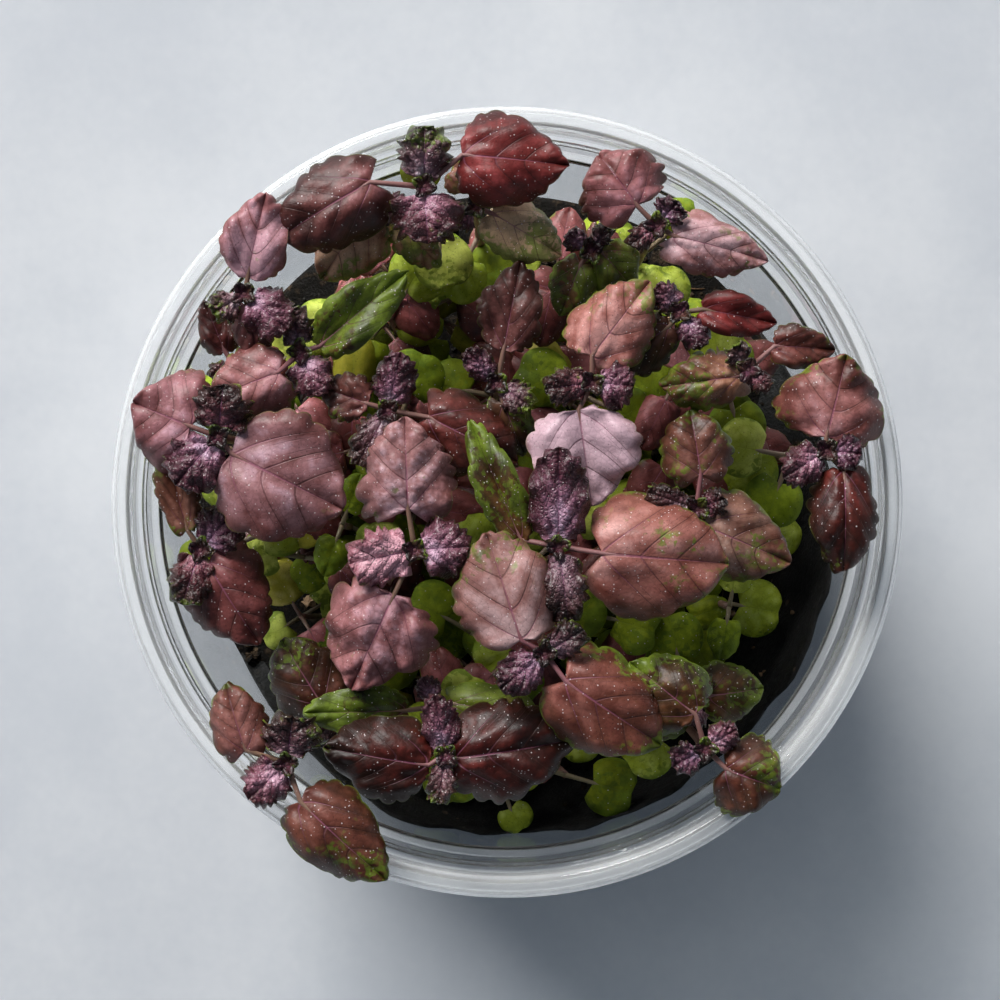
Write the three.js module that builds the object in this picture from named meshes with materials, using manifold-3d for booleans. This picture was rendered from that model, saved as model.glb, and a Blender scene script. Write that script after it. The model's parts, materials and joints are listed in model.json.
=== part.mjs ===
// Purple shiso seedlings growing close together in dark soil, in a clear round tub.
// Millimetres, +Z up, the origin on the tub's axis at the surface that it stands on.
// +X is to the right and +Y is away from a reader who looks down into the tub.
import * as THREE from "three";
import { mergeVertices } from "three/addons/utils/BufferGeometryUtils.js";
import Module from "manifold-3d";

const wasm = await Module();
wasm.setup();

// Driving sizes of the tub
const RIM_RADIUS = 58.5;
const RIM_WIDTH = 3.2;
const RIM_LIP = 3.2;
const TUB_HEIGHT = 62;
const WALL = 0.9;
const FOOT_OUTER = 45.5;
const FOOT_INNER = 38;
const FOOT_HOLLOW = 1.2;
const CORNER_RADIUS_GAIN = 2.1;
const CORNER_HEIGHT = 3.4;
const SHOULDER_HEIGHT = 51;
const SHOULDER_RADIUS = 53;
const LEDGE_HEIGHT = 57.2;
const TUB_SIDES = 40;
const NOTCH = { angle: -48.7, radius: 56.2, length: 10.5, width: 1.3, depth: 0.5 };

// Driving sizes of the soil, and the gap between pieces that stand in or on each other
const SOIL_TOP = 22;
const SOIL_BUMP = 0.5;
const SOIL_RINGS = [34, 16, 0];
const SOIL_SIDES = 24;
const GAP = 0.35;

// Driving sizes of a seedling
const STEM_RADIUS = 0.75;
const STEM_SIDES = 4;
const STEM_STEPS = 2;
const STEM_STOP = 1.55;
const ROOT_DEPTH = 4;
const ROOT_LIMIT = 44;
const LEAN = 0.86;
const HUB_RADIUS = 1.2;
const HUB_HEIGHT = 2.4;
const STALK_WIDTH = 0.9;
const BLADE_THICKNESS = 0.66;
const SEED_HEIGHT = 0.6;
const SMALL_SEED_HEIGHT = 0.72;

// One side of each kind of blade, from its base to its tip: [share of the length, share of half the width]
const FIRST_LEAF = {
  side: [[-0.03, 0.48], [0.17, 0.92], [0.42, 1], [0.54, 0.86], [0.73, 0.75], [0.88, 0.4]],
  midrib: [0.3, 0.66],
};
const YOUNG_LEAF = {
  side: [[0.04, 0.66], [0.26, 1], [0.42, 0.74], [0.66, 0.78]],
  midrib: [0.5],
};
const SMALL_LEAF = {
  side: [[0.02, 0.55], [0.3, 1], [0.6, 0.84], [0.84, 0.46]],
  midrib: [0.5],
};
const SEED_LEAF = {
  side: [[-0.13, 0.5], [0.2, 1], [0.7, 0.86]],
  midrib: [0.5],
};

// Leaves of a set size: how far the stalk reaches, the blade's length and width, and how far its tip hangs
const SMALL_BLADE = { kind: SMALL_LEAF, reach: 2.2, length: 6, width: 5, drop: 0.5 };
const SEED_BLADE = { kind: SEED_LEAF, reach: 4.5, length: 6.5, width: 8.6, drop: 1 };

// The taller seedlings, seen from above. top is the growing tip [x, y, z]. Each first leaf is
// [base x, base y, tip x, tip y, width, how far the tip hangs below the base, how far its halves
// are folded up, where that is set]. Each young leaf stands on the growing tip, and is
// [tip x, tip y, width]. seed is the direction of the two seed leaves in degrees, where they don't
// stand straight across the first leaves.
const SEEDLINGS = [
  {
    top: [-12, 46, 67],
    first: [[-20, 46.5, -33.5, 38.5, 13, 3], [-6.5, 50.5, 9, 49, 12.5, 1]],
    young: [[-12, 54.5, 8], [-11.5, 37.5, 10.5]],
  },
  {
    top: [-38.5, 30.5, 64],
    first: [[-38, 33, -35, 45, 9, 1], [-38, 28.5, -36.5, 20.5, 6, 4]],
    young: [[-32, 25, 7.5], [-43, 27.5, 5]],
  },
  {
    top: [-30.5, 22, 62],
    first: [[-33.5, 19, -43.5, 15, 11, 3], [-27.5, 23, -14.5, 34, 7.5, 0, 0.5]],
    young: [[-31.5, 28.5, 5.5], [-27.5, 15.5, 6.5]],
  },
  {
    top: [-17.5, 13.5, 62],
    first: [[-20.5, 14.5, -27.5, 17, 7, 2], [-11.5, 12.5, 1.5, 6, 12, 2]],
    young: [[-15.5, 22, 6], [-22, 5.5, 6]],
  },
  {
    top: [-13.5, -7, 65],
    first: [[-14.5, -1, -15, 12.5, 14, 2], [-16.5, -13.5, -23, -27.5, 15, 4]],
    young: [[-23, -9, 9], [-5.5, -6.5, 8.5]],
  },
  {
    top: [7.5, -6.5, 66],
    first: [[2, -5.5, -5.5, 12, 6.5, 1, 0.8], [14, -7.5, 32.5, -9, 18, 3]],
    young: [[7.5, 8, 8.5], [9, -17.5, 7]],
  },
  {
    top: [12.5, 17.5, 63],
    first: [[12.5, 21.5, 21, 32.5, 11.5, 1], [10.5, 13.5, 12.5, -0.5, 15, 3]],
    young: [[5.5, 16.5, 6], [18.5, 17, 7]],
  },
  {
    top: [5.5, -22, 68],
    first: [[2, -20, -3, -4.5, 15, 1], [8.5, -26, 22.5, -35.5, 14.5, 3]],
    young: [[-1, -27, 6], [11, -18.5, 5.5]],
  },
  {
    top: [-42, 9.5, 68],
    first: [[-46, 11, -54.5, 14.5, 15, 2], [-40, 7, -24, -1, 18.5, 2]],
    young: [[-41, 17, 9], [-48, 2.5, 9]],
  },
  {
    top: [-45, -7, 63],
    first: [[-47, -4, -50.5, 9, 6, 1, 0.6], [-44, -9, -36.5, -21, 12.5, 2]],
    young: [[-40, -1.5, 7], [-47.5, -15, 7]],
  },
  {
    top: [-40.5, 20, 57],
    first: [[-42, 22.5, -45, 30, 5, -1], [-39, 17, -36.5, 11, 6, 3]],
    young: [[-44, 18.5, 4], [-37, 21.5, 4]],
  },
  {
    top: [22, 40.5, 64],
    first: [[19, 43.5, 13.5, 51, 13.5, 2], [24.5, 39, 38.5, 35.5, 8.5, 3]],
    young: [[25, 44, 5], [18, 37.5, 4]],
  },
  {
    top: [25.5, 28, 60],
    first: [[29, 28.5, 40, 26.5, 6, 2, 0.5], [24, 26, 14.5, 19.5, 8.5, 3]],
    young: [[22, 32, 4.5], [29, 23, 4.5]],
  },
  {
    top: [35.5, 19.5, 62],
    first: [[34, 18.5, 23, 17, 9, 2], [39.5, 23, 48.5, 22.5, 6, 1, 0.4]],
    young: [[33, 23, 4], [38.5, 16.5, 3.5]],
  },
  {
    top: [46.5, 7.5, 67],
    first: [[46.5, 9.5, 49.5, 21.5, 14.5, 1], [49, 4.5, 49, -10, 10, 0]],
    young: [[40, 3.5, 6], [51.5, 7, 5]], seed: [250, 170],
  },
  {
    top: [28, -1, 62],
    first: [[28.5, 4, 27, 13.5, 11, 2], [29, -3.5, 42, -9, 12, 3]],
    young: [[20.5, 1.5, 4], [32, 0.5, 4.5]],
  },
  {
    top: [29, -36, 65],
    first: [[27.5, -31, 18, -23.5, 10.5, 2], [32, -39, 40, -42, 12.5, 1]],
    young: [[33.5, -33, 4.5], [24, -38.5, 5]], seed: [215, 60],
  },
  {
    top: [-32, -38, 68],
    first: [[-38, -36, -41, -26.5, 8.5, 2], [-30, -43.5, -17.5, -55, 11, 1]],
    young: [[-31, -31, 9], [-37.5, -43, 7]],
  },
  {
    top: [-9, -37, 65],
    first: [[-11.5, -38.5, -27, -36, 11.5, 2], [-7.5, -37.5, 9, -35, 15.5, 2]],
    young: [[-10.5, -28, 5.5], [-10, -44, 4.5]],
  },
  {
    top: [-25, -31.5, 58],
    first: [[-27.5, -30, -33.5, -20.5, 12, 2], [-22.5, -33, -16, -37, 6.5, 3]],
    young: [[-28, -35, 4], [-21.5, -28, 4]],
  },
  {
    top: [-10.5, -30.5, 57],
    first: [[-15, -31, -30, -31, 7, 1], [-8, -30, 5, -31.5, 7, 1]],
    young: [[-12.5, -26, 3.5], [-9, -35, 3.5]],
  },
  {
    top: [-4.5, 43.5, 61],
    first: [[-2, 42.5, 8, 36.5, 9, 2], [-5.5, 46, -6.5, 51, 6, 1]],
    young: [[-0.5, 46.5, 3.5], [-7.5, 41, 4]],
  },
  {
    top: [-1.5, 17.5, 60],
    first: [[-0.5, 22.5, 2, 35.5, 9, 1], [-0.5, 14.5, 2.5, 7, 7, 4]],
    young: [[-6, 22.5, 4], [3.5, 14, 5.5]],
  },
  {
    top: [28.5, -29.5, 54],
    first: [[30.5, -29, 38.5, -28, 9, 2], [27, -30.5, 19.5, -35.5, 7.5, 3]],
    young: [[29.5, -26, 3.5], [28, -33.5, 3.5]],
  },
  {
    top: [12.5, 37.5, 55],
    first: [[14, 37.5, 19, 32, 8.5, 2], [11, 35.5, 8, 28, 7, 2]],
    young: [[9, 40, 3.5], [15, 41, 3.5]],
  },
  {
    top: [-18, 42.5, 61],
    first: [[-21, 42, -27.5, 33, 10.5, 2], [-16, 41, -10, 35, 6, 3]],
    young: [[-20.5, 46, 3.5], [-15, 44.5, 3.5]],
  },
];

// Later, smaller seedlings that stay green. Those of one clump share a root. Each plant is
// [x, y, z of its growing tip, direction of its top pair of leaves in degrees, pairs of leaves].
const SMALL_CLUMPS = [
  { root: [28, -14], plants: [[34, -16, 47, 80, 2], [26.5, -18.5, 43, 20, 2], [35.5, -8, 40, 30, 1]] },
  { root: [4, -38], plants: [[9, -42, 44, -15, 1], [-1, -43, 41, -80, 1], [14, -30, 42, 60, 1]] },
  { root: [-16, 24.5], plants: [[-18, 28.5, 46, 50, 1], [-8, 32, 44, 30, 1]] },
  { root: [31, 10], plants: [[36, 11.5, 46, 120, 1], [28, 19, 44, 20, 1]] },
  { root: [-23, -4.5], plants: [[-25, -3.5, 50, 70, 2], [-31, -8.5, 44, 170, 1]] },
  { root: [5, -13], plants: [[12.5, -17, 46, 165, 1], [-5.5, -20, 45, 150, 1]] },
];

// A leaf may be bent clear of its neighbours: its tip raised, its stalk raised, both swung round,
// and its size reduced. The least troublesome bends come first.
const BENDS = {
  shrink: [1, 0.9, 0.8, 0.7, 0.6],
  swing: [0, 7, -7, 14, -14, 21, -21, 30, -30],
  lift: [0, 1.2, -1.2, 2.4, -2.4],
  bend: [0, 1.5, -1.5, 3, -3, 4.5, -4.5, 6, -6],
};
const TROUBLE = { shrink: 14, swing: 1 / 9, lift: 1 / 1.5, bend: 1 / 3 };
const STEM_TRIES = 40;
const STEM_STRIDE = 0.35;

const trouble = (option) =>
  (1 - option.shrink) * TROUBLE.shrink +
  Math.abs(option.swing) * TROUBLE.swing +
  Math.abs(option.lift) * TROUBLE.lift +
  Math.abs(option.bend) * TROUBLE.bend;

const OPTIONS = BENDS.shrink
  .flatMap((shrink) => BENDS.swing.map((swing) => ({ shrink, swing })))
  .flatMap((option) => BENDS.lift.map((lift) => ({ ...option, lift })))
  .flatMap((option) => BENDS.bend.map((bend) => ({ ...option, bend })))
  .sort((a, b) => trouble(a) - trouble(b));

const MATERIALS = {
  tub: new THREE.MeshStandardMaterial({ color: 0xe6ebee, roughness: 0.08, metalness: 0 }),
  soil: new THREE.MeshStandardMaterial({ color: 0x16110e, roughness: 0.95, metalness: 0 }),
  stalk: new THREE.MeshStandardMaterial({ color: 0x5c7a2c, roughness: 0.55, metalness: 0 }),
  leaves: new THREE.MeshStandardMaterial({ color: 0x5b2a38, roughness: 0.5, metalness: 0 }),
  small: new THREE.MeshStandardMaterial({ color: 0x4f8a22, roughness: 0.5, metalness: 0 }),
};

const UP = new THREE.Vector3(0, 0, 1);
const toRadians = THREE.MathUtils.degToRad;
const point = (p) => new THREE.Vector3(p[0], p[1], p[2]);

// Shares from 0 to 1 that differ from leaf to leaf and from use to use, and are spread evenly
const vary = (n, use) => (n * 0.6180339887 + use * 0.7548776662) % 1;

// Solids and three.js geometry

function solid(geometry) {
  const bare = new THREE.BufferGeometry().setAttribute("position", geometry.getAttribute("position"));
  if (geometry.index) bare.setIndex(geometry.index);
  const merged = mergeVertices(bare, 1e-4);
  const mesh = new wasm.Mesh({
    numProp: 3,
    vertProperties: new Float32Array(merged.attributes.position.array),
    triVerts: new Uint32Array(merged.index.array),
  });
  return new wasm.Manifold(mesh);
}

function geometryOf(shape) {
  const mesh = shape.getMesh();
  const geometry = new THREE.BufferGeometry();
  geometry.setAttribute("position", new THREE.BufferAttribute(new Float32Array(mesh.vertProperties), 3));
  geometry.setIndex(new THREE.BufferAttribute(new Uint32Array(mesh.triVerts), 1));
  const flat = geometry.toNonIndexed();
  flat.computeVertexNormals();
  return flat;
}

const fuse = (shapes) => wasm.Manifold.union(shapes);

function lathe(profile, sides) {
  const geometry = new THREE.LatheGeometry(profile.map(([r, z]) => new THREE.Vector2(r, z)), sides);
  return geometry.rotateX(Math.PI / 2);
}

// A bar with a regular section along a curve
function rod(curve, radius, steps) {
  const turn = (2 * Math.PI) / STEM_SIDES;
  const corner = (_, i) => new THREE.Vector2(radius * Math.cos(i * turn), radius * Math.sin(i * turn));
  const section = new THREE.Shape(Array.from({ length: STEM_SIDES }, corner));
  return solid(new THREE.ExtrudeGeometry(section, { steps, extrudePath: curve }));
}

// The tub and the soil

function makeTub() {
  const rimInner = RIM_RADIUS - RIM_WIDTH;
  const outside = [
    [0, FOOT_HOLLOW],
    [FOOT_INNER, FOOT_HOLLOW],
    [FOOT_INNER + 1.2, 0],
    [FOOT_OUTER, 0],
    [FOOT_OUTER + CORNER_RADIUS_GAIN + WALL, CORNER_HEIGHT - 0.8],
    [SHOULDER_RADIUS, SHOULDER_HEIGHT - 0.6],
    [SHOULDER_RADIUS + 1.4, SHOULDER_HEIGHT + 0.6],
    [SHOULDER_RADIUS + 1.7, LEDGE_HEIGHT - 0.9],
    [rimInner + 0.9, LEDGE_HEIGHT],
    [rimInner + 1.1, TUB_HEIGHT - 1.4],
    [RIM_RADIUS - 0.8, TUB_HEIGHT - 1.4],
    [RIM_RADIUS - 0.8, TUB_HEIGHT - RIM_LIP],
    [RIM_RADIUS, TUB_HEIGHT - RIM_LIP],
  ];
  const inside = [
    [RIM_RADIUS, TUB_HEIGHT - 0.7],
    [RIM_RADIUS - 0.7, TUB_HEIGHT],
    [rimInner + 0.5, TUB_HEIGHT - 0.2],
    [rimInner, TUB_HEIGHT - 0.9],
    [rimInner - 0.2, LEDGE_HEIGHT + 0.8],
    [SHOULDER_RADIUS + 0.7, LEDGE_HEIGHT - 0.1],
    [SHOULDER_RADIUS + 0.4, SHOULDER_HEIGHT + 1.4],
    [SHOULDER_RADIUS - WALL, SHOULDER_HEIGHT],
    [FOOT_OUTER + CORNER_RADIUS_GAIN, CORNER_HEIGHT],
    [FOOT_OUTER, FOOT_HOLLOW + WALL],
    [0, FOOT_HOLLOW + WALL],
  ];
  return solid(lathe([...outside, ...inside], TUB_SIDES)).subtract(makeNotch());
}

// The short flat recess in the top of the rim
function makeNotch() {
  const box = new THREE.BoxGeometry(NOTCH.width, NOTCH.length, 2 * NOTCH.depth);
  box.translate(NOTCH.radius, 0, TUB_HEIGHT - 0.1);
  return solid(box.rotateZ(toRadians(NOTCH.angle)));
}

// Radius of the tub's inner wall at a height
function wallRadius(z) {
  const low = FOOT_OUTER + CORNER_RADIUS_GAIN;
  const rise = (z - CORNER_HEIGHT) / (SHOULDER_HEIGHT - CORNER_HEIGHT);
  return low + (SHOULDER_RADIUS - WALL - low) * rise;
}

// The soil has a gently uneven top, and a hole for each stem
function makeSoil(stems) {
  const bottom = FOOT_HOLLOW + WALL + GAP;
  const corner = CORNER_HEIGHT + 0.8;
  const top = SOIL_TOP + 0.4;
  const profile = [
    [0, bottom],
    [FOOT_OUTER - GAP, bottom],
    [wallRadius(corner) - GAP, corner],
    [wallRadius(SOIL_TOP) - GAP, SOIL_TOP],
    ...SOIL_RINGS.map((r) => [r, top]),
  ];
  const geometry = lathe(profile, SOIL_SIDES);
  const at = geometry.getAttribute("position");
  for (let i = 0; i < at.count; i += 1) {
    const [x, y, z] = [at.getX(i), at.getY(i), at.getZ(i)];
    const bump = SOIL_BUMP * Math.sin(x * 0.31 + 1) * Math.cos(y * 0.27);
    if (z > SOIL_TOP && Math.hypot(x, y) > 1) at.setZ(i, z + bump);
  }
  return solid(geometry).subtract(fuse(stems.map((stem) => stem.hole)));
}

// Leaves

// How leaf n is bent: arched along its length, its two halves folded down or up, and its edge waved
function formOf(n, limp = 1) {
  return {
    arch: 0.05 + 0.09 * vary(n, 1),
    fold: (-0.38 + 0.46 * vary(n, 2)) * limp,
    wave: (0.15 + 0.55 * vary(n, 3)) * limp,
    phase: 2 * Math.PI * vary(n, 4),
  };
}

// A point of the blade's middle surface: s runs from base to tip, t from edge to edge
function onBlade(leaf, s, t) {
  const { length, width, form } = leaf;
  const y = (t * width) / 2;
  const arch = form.arch * length * 4 * s * (1 - s);
  const wave = form.wave * Math.abs(t) * Math.sin(Math.PI * 3 * s + form.phase + (t < 0 ? 1.5 : 0));
  return new THREE.Vector3(s * length, y, arch + form.fold * Math.abs(y) + wave);
}

// One half of the blade's face, as triangles between its edge and its midrib
function halfFace(edge, midrib, left) {
  const faces = [];
  const add = (p, q, r) => faces.push(left ? [p.at, q.at, r.at] : [p.at, r.at, q.at]);
  const lastEdge = edge.length - 2;
  const lastMidrib = midrib.length - 2;
  let [i, j] = [0, 0];
  while (i < lastEdge || j < lastMidrib) {
    const edgeNext = i < lastEdge ? edge[i + 1].s : Infinity;
    const midribNext = j < lastMidrib ? midrib[j + 1].s : Infinity;
    if (edgeNext <= midribNext) {
      add(edge[i], midrib[j], edge[i + 1]);
      i += 1;
    } else {
      add(edge[i], midrib[j], midrib[j + 1]);
      j += 1;
    }
  }
  add(edge[i], midrib[j], edge[edge.length - 1]);
  return faces;
}

// The axes of a blade: along it, across it and out of its upper face
function leafMatrix(leaf) {
  const x = new THREE.Vector3().subVectors(leaf.tip, leaf.base).normalize();
  const y = UP.clone().cross(x).normalize();
  const z = new THREE.Vector3().crossVectors(x, y);
  return new THREE.Matrix4().makeBasis(x, y, z).setPosition(leaf.base);
}

// A leaf with its stalk: one closed plate of even thickness, its two faces split into triangles alike.
// A plate that is grown on all sides serves to test whether the leaf is clear of others.
function leafSolid(leaf, grow) {
  const { kind, length, width, from, base } = leaf;
  const matrix = leafMatrix(leaf);
  const across = new THREE.Vector3().setFromMatrixColumn(matrix, 1);
  const lift = new THREE.Vector3().setFromMatrixColumn(matrix, 2);
  const stalkRun = new THREE.Vector3().subVectors(base, from).normalize();
  const stalkSide = UP.clone().cross(stalkRun).normalize();
  const stalkLift = new THREE.Vector3().crossVectors(stalkRun, stalkSide);
  const points = [];
  const mark = (position, normal, s) => points[points.push({ position, normal, s, at: points.length }) - 1];
  const onLeaf = (s, t) => mark(onBlade(leaf, s, t).applyMatrix4(matrix), lift, s);
  const half = STALK_WIDTH / 2 + grow;
  const wide = 1 + (2 * grow) / width;
  const long = grow / length;
  const tip = onLeaf(1 + long, 0);
  const midrib = [...kind.midrib.map((s) => onLeaf(s, 0)), tip];
  const [left, right] = [1, -1].map((sign) => {
    const start = mark(from.clone().addScaledVector(stalkSide, sign * half), stalkLift, -1);
    const foot = mark(base.clone().addScaledVector(across, sign * half), lift, 0);
    const side = kind.side.map(([s, w]) => onLeaf(s + long * Math.sign(s - 0.5), sign * w * wide));
    return { start, foot, edge: [foot, ...side, tip] };
  });
  const faces = [
    [right.start.at, right.foot.at, left.foot.at],
    [right.start.at, left.foot.at, left.start.at],
    [right.foot.at, midrib[0].at, left.foot.at],
    ...halfFace(left.edge, midrib, true),
    ...halfFace(right.edge, midrib, false),
  ];
  const outline = [right.start, ...right.edge, ...left.edge.slice(0, -1).reverse(), left.start];
  return plate(points, faces, outline.map((p) => p.at), BLADE_THICKNESS / 2 + grow);
}

function plate(points, faces, outline, half) {
  const moved = (p, sign) => p.position.clone().addScaledVector(p.normal, sign * half).toArray();
  const positions = [1, -1].flatMap((sign) => points.flatMap((p) => moved(p, sign)));
  const under = points.length;
  const index = faces.flatMap(([a, b, c]) => [a, b, c, under + a, under + c, under + b]);
  outline.forEach((a, i) => {
    const b = outline[(i + 1) % outline.length];
    index.push(a, under + a, under + b, a, under + b, b);
  });
  const geometry = new THREE.BufferGeometry();
  geometry.setAttribute("position", new THREE.BufferAttribute(new Float32Array(positions), 3));
  geometry.setIndex(index);
  return solid(geometry);
}

// A leaf after a bend: where its blade starts and ends, and its size
function bent(leaf, option) {
  const turn = toRadians(option.swing);
  const reach = new THREE.Vector3().subVectors(leaf.base, leaf.from).applyAxisAngle(UP, turn / 2);
  const run = new THREE.Vector3().subVectors(leaf.tip, leaf.base).multiplyScalar(option.shrink);
  run.applyAxisAngle(UP, turn);
  reach.z += option.lift;
  run.z += option.bend;
  const base = leaf.from.clone().add(reach);
  return { ...leaf, base, tip: base.clone().add(run), length: run.length(), width: leaf.width * option.shrink };
}

// What stands in the tub so far, so that each new leaf can be bent clear of it

const placed = [];

function stand(shape, owner) {
  placed.push({ shape, owner, box: shape.boundingBox() });
  return shape;
}

const apart = (a, b) => [0, 1, 2].some((k) => a.min[k] > b.max[k] || b.min[k] > a.max[k]);

// True if the shape meets anything that isn't its own plant's
function blocked(shape, owner) {
  const box = shape.boundingBox();
  return placed.some((other) => {
    if (other.owner === owner || apart(box, other.box)) return false;
    const common = shape.intersect(other.shape);
    const hit = !common.isEmpty();
    common.delete();
    return hit;
  });
}

// True if the shape stays within the square that the rim fills
function insideRim(shape) {
  const { min, max } = shape.boundingBox();
  return Math.max(-min[0], -min[1], max[0], max[1]) < RIM_RADIUS - 0.1;
}

// The leaf with the least bend that keeps it clear, or none where there is no room for it
function settle(leaf, owner) {
  const option = OPTIONS.find((tried) => {
    const grown = leafSolid(bent(leaf, tried), GAP);
    const free = insideRim(grown) && !blocked(grown, owner);
    grown.delete();
    return free;
  });
  return option ? [stand(leafSolid(bent(leaf, option), 0), owner)] : [];
}

// Stems

// A stem from its foot in the soil up to just below the growing tip, with its hole
function makeStem(top, root, owner) {
  const foot = new THREE.Vector3(root[0], root[1], SOIL_TOP - ROOT_DEPTH);
  const end = new THREE.Vector3(top.x, top.y, top.z - STEM_STOP);
  const knee = foot.clone().lerp(top, 0.25).setZ((SOIL_TOP + top.z) / 2);
  const curve = new THREE.QuadraticBezierCurve3(foot, knee, end);
  const bottom = foot.clone().setZ(foot.z - GAP);
  const hole = rod(new THREE.LineCurve3(bottom, curve.getPoint(0.3)), STEM_RADIUS + GAP, 1);
  const clear = !blocked(rod(curve, STEM_RADIUS + GAP, STEM_STEPS), owner);
  return { curve, hole, clear, shape: rod(curve, STEM_RADIUS, STEM_STEPS) };
}

// The root is drawn in towards the tub's middle, and moved round that place until the stem is clear
function settleStem(top, owner) {
  for (let step = 0; step < STEM_TRIES; step += 1) {
    const away = STEM_STRIDE * step;
    const turn = step * 2.4;
    const root = [top.x * LEAN + away * Math.cos(turn), top.y * LEAN + away * Math.sin(turn)];
    if (Math.hypot(...root) > ROOT_LIMIT) continue;
    const stem = makeStem(top, root, owner);
    if (!stem.clear) continue;
    stand(stem.shape, owner);
    return stem;
  }
  throw new Error("no free place for the stem of " + owner);
}

// Seedlings

function firstLeaf(top, row, n) {
  const [baseX, baseY, tipX, tipY, width, drop, fold] = row;
  const reach = Math.hypot(baseX - top.x, baseY - top.y);
  const base = new THREE.Vector3(baseX, baseY, top.z + 0.5 + 0.12 * reach);
  const tip = new THREE.Vector3(tipX, tipY, base.z - drop);
  const form = formOf(n);
  form.fold = fold ?? form.fold;
  return { kind: FIRST_LEAF, from: top, base, tip, width, form };
}

function youngLeaf(top, row, n) {
  const [tipX, tipY, width] = row;
  const out = new THREE.Vector3(tipX - top.x, tipY - top.y, 0).normalize();
  const base = top.clone().addScaledVector(out, 1.5).addScaledVector(UP, 0.9);
  const tip = new THREE.Vector3(tipX, tipY, top.z + 2.4);
  return { kind: YOUNG_LEAF, from: top, base, tip, width, form: { ...formOf(n), wave: 0.35 } };
}

// A leaf of a set size on a short stalk, in a direction in degrees
function sideLeaf(blade, from, degrees, n) {
  const out = new THREE.Vector3(1, 0, 0).applyAxisAngle(UP, toRadians(degrees));
  const base = from.clone().addScaledVector(out, blade.reach).addScaledVector(UP, 1);
  const tip = base.clone().addScaledVector(out, blade.length).addScaledVector(UP, -blade.drop);
  return { kind: blade.kind, from, base, tip, width: blade.width, form: formOf(n, 0.5) };
}

// The direction of a seedling's first leaves, in degrees
function headingOf(row) {
  const [baseX, baseY, tipX, tipY] = row.first[0];
  const [x, y] = row.top;
  return THREE.MathUtils.radToDeg(Math.atan2((baseY + tipY) / 2 - y, (baseX + tipX) / 2 - x));
}

// The growing tip: a small square block that faces the leaves
function makeHub(top, heading) {
  const geometry = new THREE.CylinderGeometry(HUB_RADIUS, HUB_RADIUS, HUB_HEIGHT, 4, 1);
  geometry.rotateX(Math.PI / 2).rotateZ(toRadians(heading + 45));
  return solid(geometry.translate(top.x, top.y, top.z));
}

// All stems first, then the leaves from the tallest seedling down, then the seed leaves below them
function growSeedlings() {
  const plants = SEEDLINGS.map((row, i) => {
    const name = "seedling_" + String(i + 1).padStart(2, "0");
    return { row, i, name, top: point(row.top), heading: headingOf(row) };
  });
  plants.forEach((p) => (p.stem = settleStem(p.top, p.name)));
  const tallestFirst = [...plants].sort((a, b) => b.top.z - a.top.z);
  tallestFirst.forEach((p) => {
    const first = p.row.first.flatMap((row, k) => settle(firstLeaf(p.top, row, 4 * p.i + k), p.name));
    const young = p.row.young.flatMap((row, k) => settle(youngLeaf(p.top, row, 4 * p.i + 2 + k), p.name));
    p.leaves = [...first, ...young];
  });
  plants.forEach((p) => {
    const from = p.stem.curve.getPoint(SEED_HEIGHT + 0.2 * (vary(p.i, 5) - 0.5));
    const headings = p.row.seed ?? [p.heading + 90, p.heading + 270];
    const leaf = (heading, k) => sideLeaf(SEED_BLADE, from, heading, 200 + 2 * p.i + k);
    p.seedLeaves = headings.flatMap((heading, k) => settle(leaf(heading, k), p.name));
  });
  return plants;
}

function growClumpStems() {
  return SMALL_CLUMPS.map((clump, i) => {
    const name = "small_seedlings_" + (i + 1);
    const stems = clump.plants.map((row) => makeStem(point(row), clump.root, name));
    stems.forEach((stem) => stand(stem.shape, name));
    return { clump, i, name, stems };
  });
}

// The top pair of leaves and, where there are two pairs, the seed leaves across it lower down
function growClumpLeaves(clumps) {
  clumps.forEach((c) => {
    c.leaves = c.clump.plants.flatMap(([x, y, z, heading, pairs], k) => {
      const top = new THREE.Vector3(x, y, z - STEM_STOP - 0.2);
      const low = c.stems[k].curve.getPoint(SMALL_SEED_HEIGHT);
      return [0, 180].flatMap((turn, side) => {
        const n = 300 + 12 * c.i + 4 * k + side;
        const upper = sideLeaf(pairs > 1 ? SMALL_BLADE : SEED_BLADE, top, heading + turn, n);
        const lower = sideLeaf(SEED_BLADE, low, heading + 90 + turn, n + 2);
        return [...settle(upper, c.name), ...(pairs > 1 ? settle(lower, c.name) : [])];
      });
    });
  });
}

// The whole part

const part = new THREE.Group();

function addNode(name, shape, material) {
  const mesh = new THREE.Mesh(geometryOf(shape), MATERIALS[material].clone());
  mesh.name = name;
  part.add(mesh);
}

const tub = stand(makeTub(), "tub");
const clumps = growClumpStems();
const plants = growSeedlings();
growClumpLeaves(clumps);

addNode("tub", tub, "tub");
addNode("soil", makeSoil([...plants.map((p) => p.stem), ...clumps.flatMap((c) => c.stems)]), "soil");
plants.forEach((p) => {
  addNode(p.name + "_stalk", fuse([p.stem.shape, ...p.seedLeaves]), "stalk");
  addNode(p.name + "_leaves", fuse([makeHub(p.top, p.heading), ...p.leaves]), "leaves");
});
clumps.forEach((c) => addNode(c.name, fuse([...c.stems.map((stem) => stem.shape), ...c.leaves]), "small"));

export default part;
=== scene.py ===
# %% [markdown]
# Purple shiso seedlings in a clear round tub.
# The object is a shallow clear tub of dark potting soil, in which young purple shiso grows close
# together. Each seedling is a thin stem with a pair of green seed leaves, and above them a pair of
# purple first leaves and a pair of small crinkled young leaves round the growing tip.
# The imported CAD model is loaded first. It is the frame: every fine piece below stands where its
# coarse solid stands, and takes its place in the picture.

# %% The frame
import itertools
import json
import math

import bpy
import numpy as np
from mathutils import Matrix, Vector, bvhtree, kdtree

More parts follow.
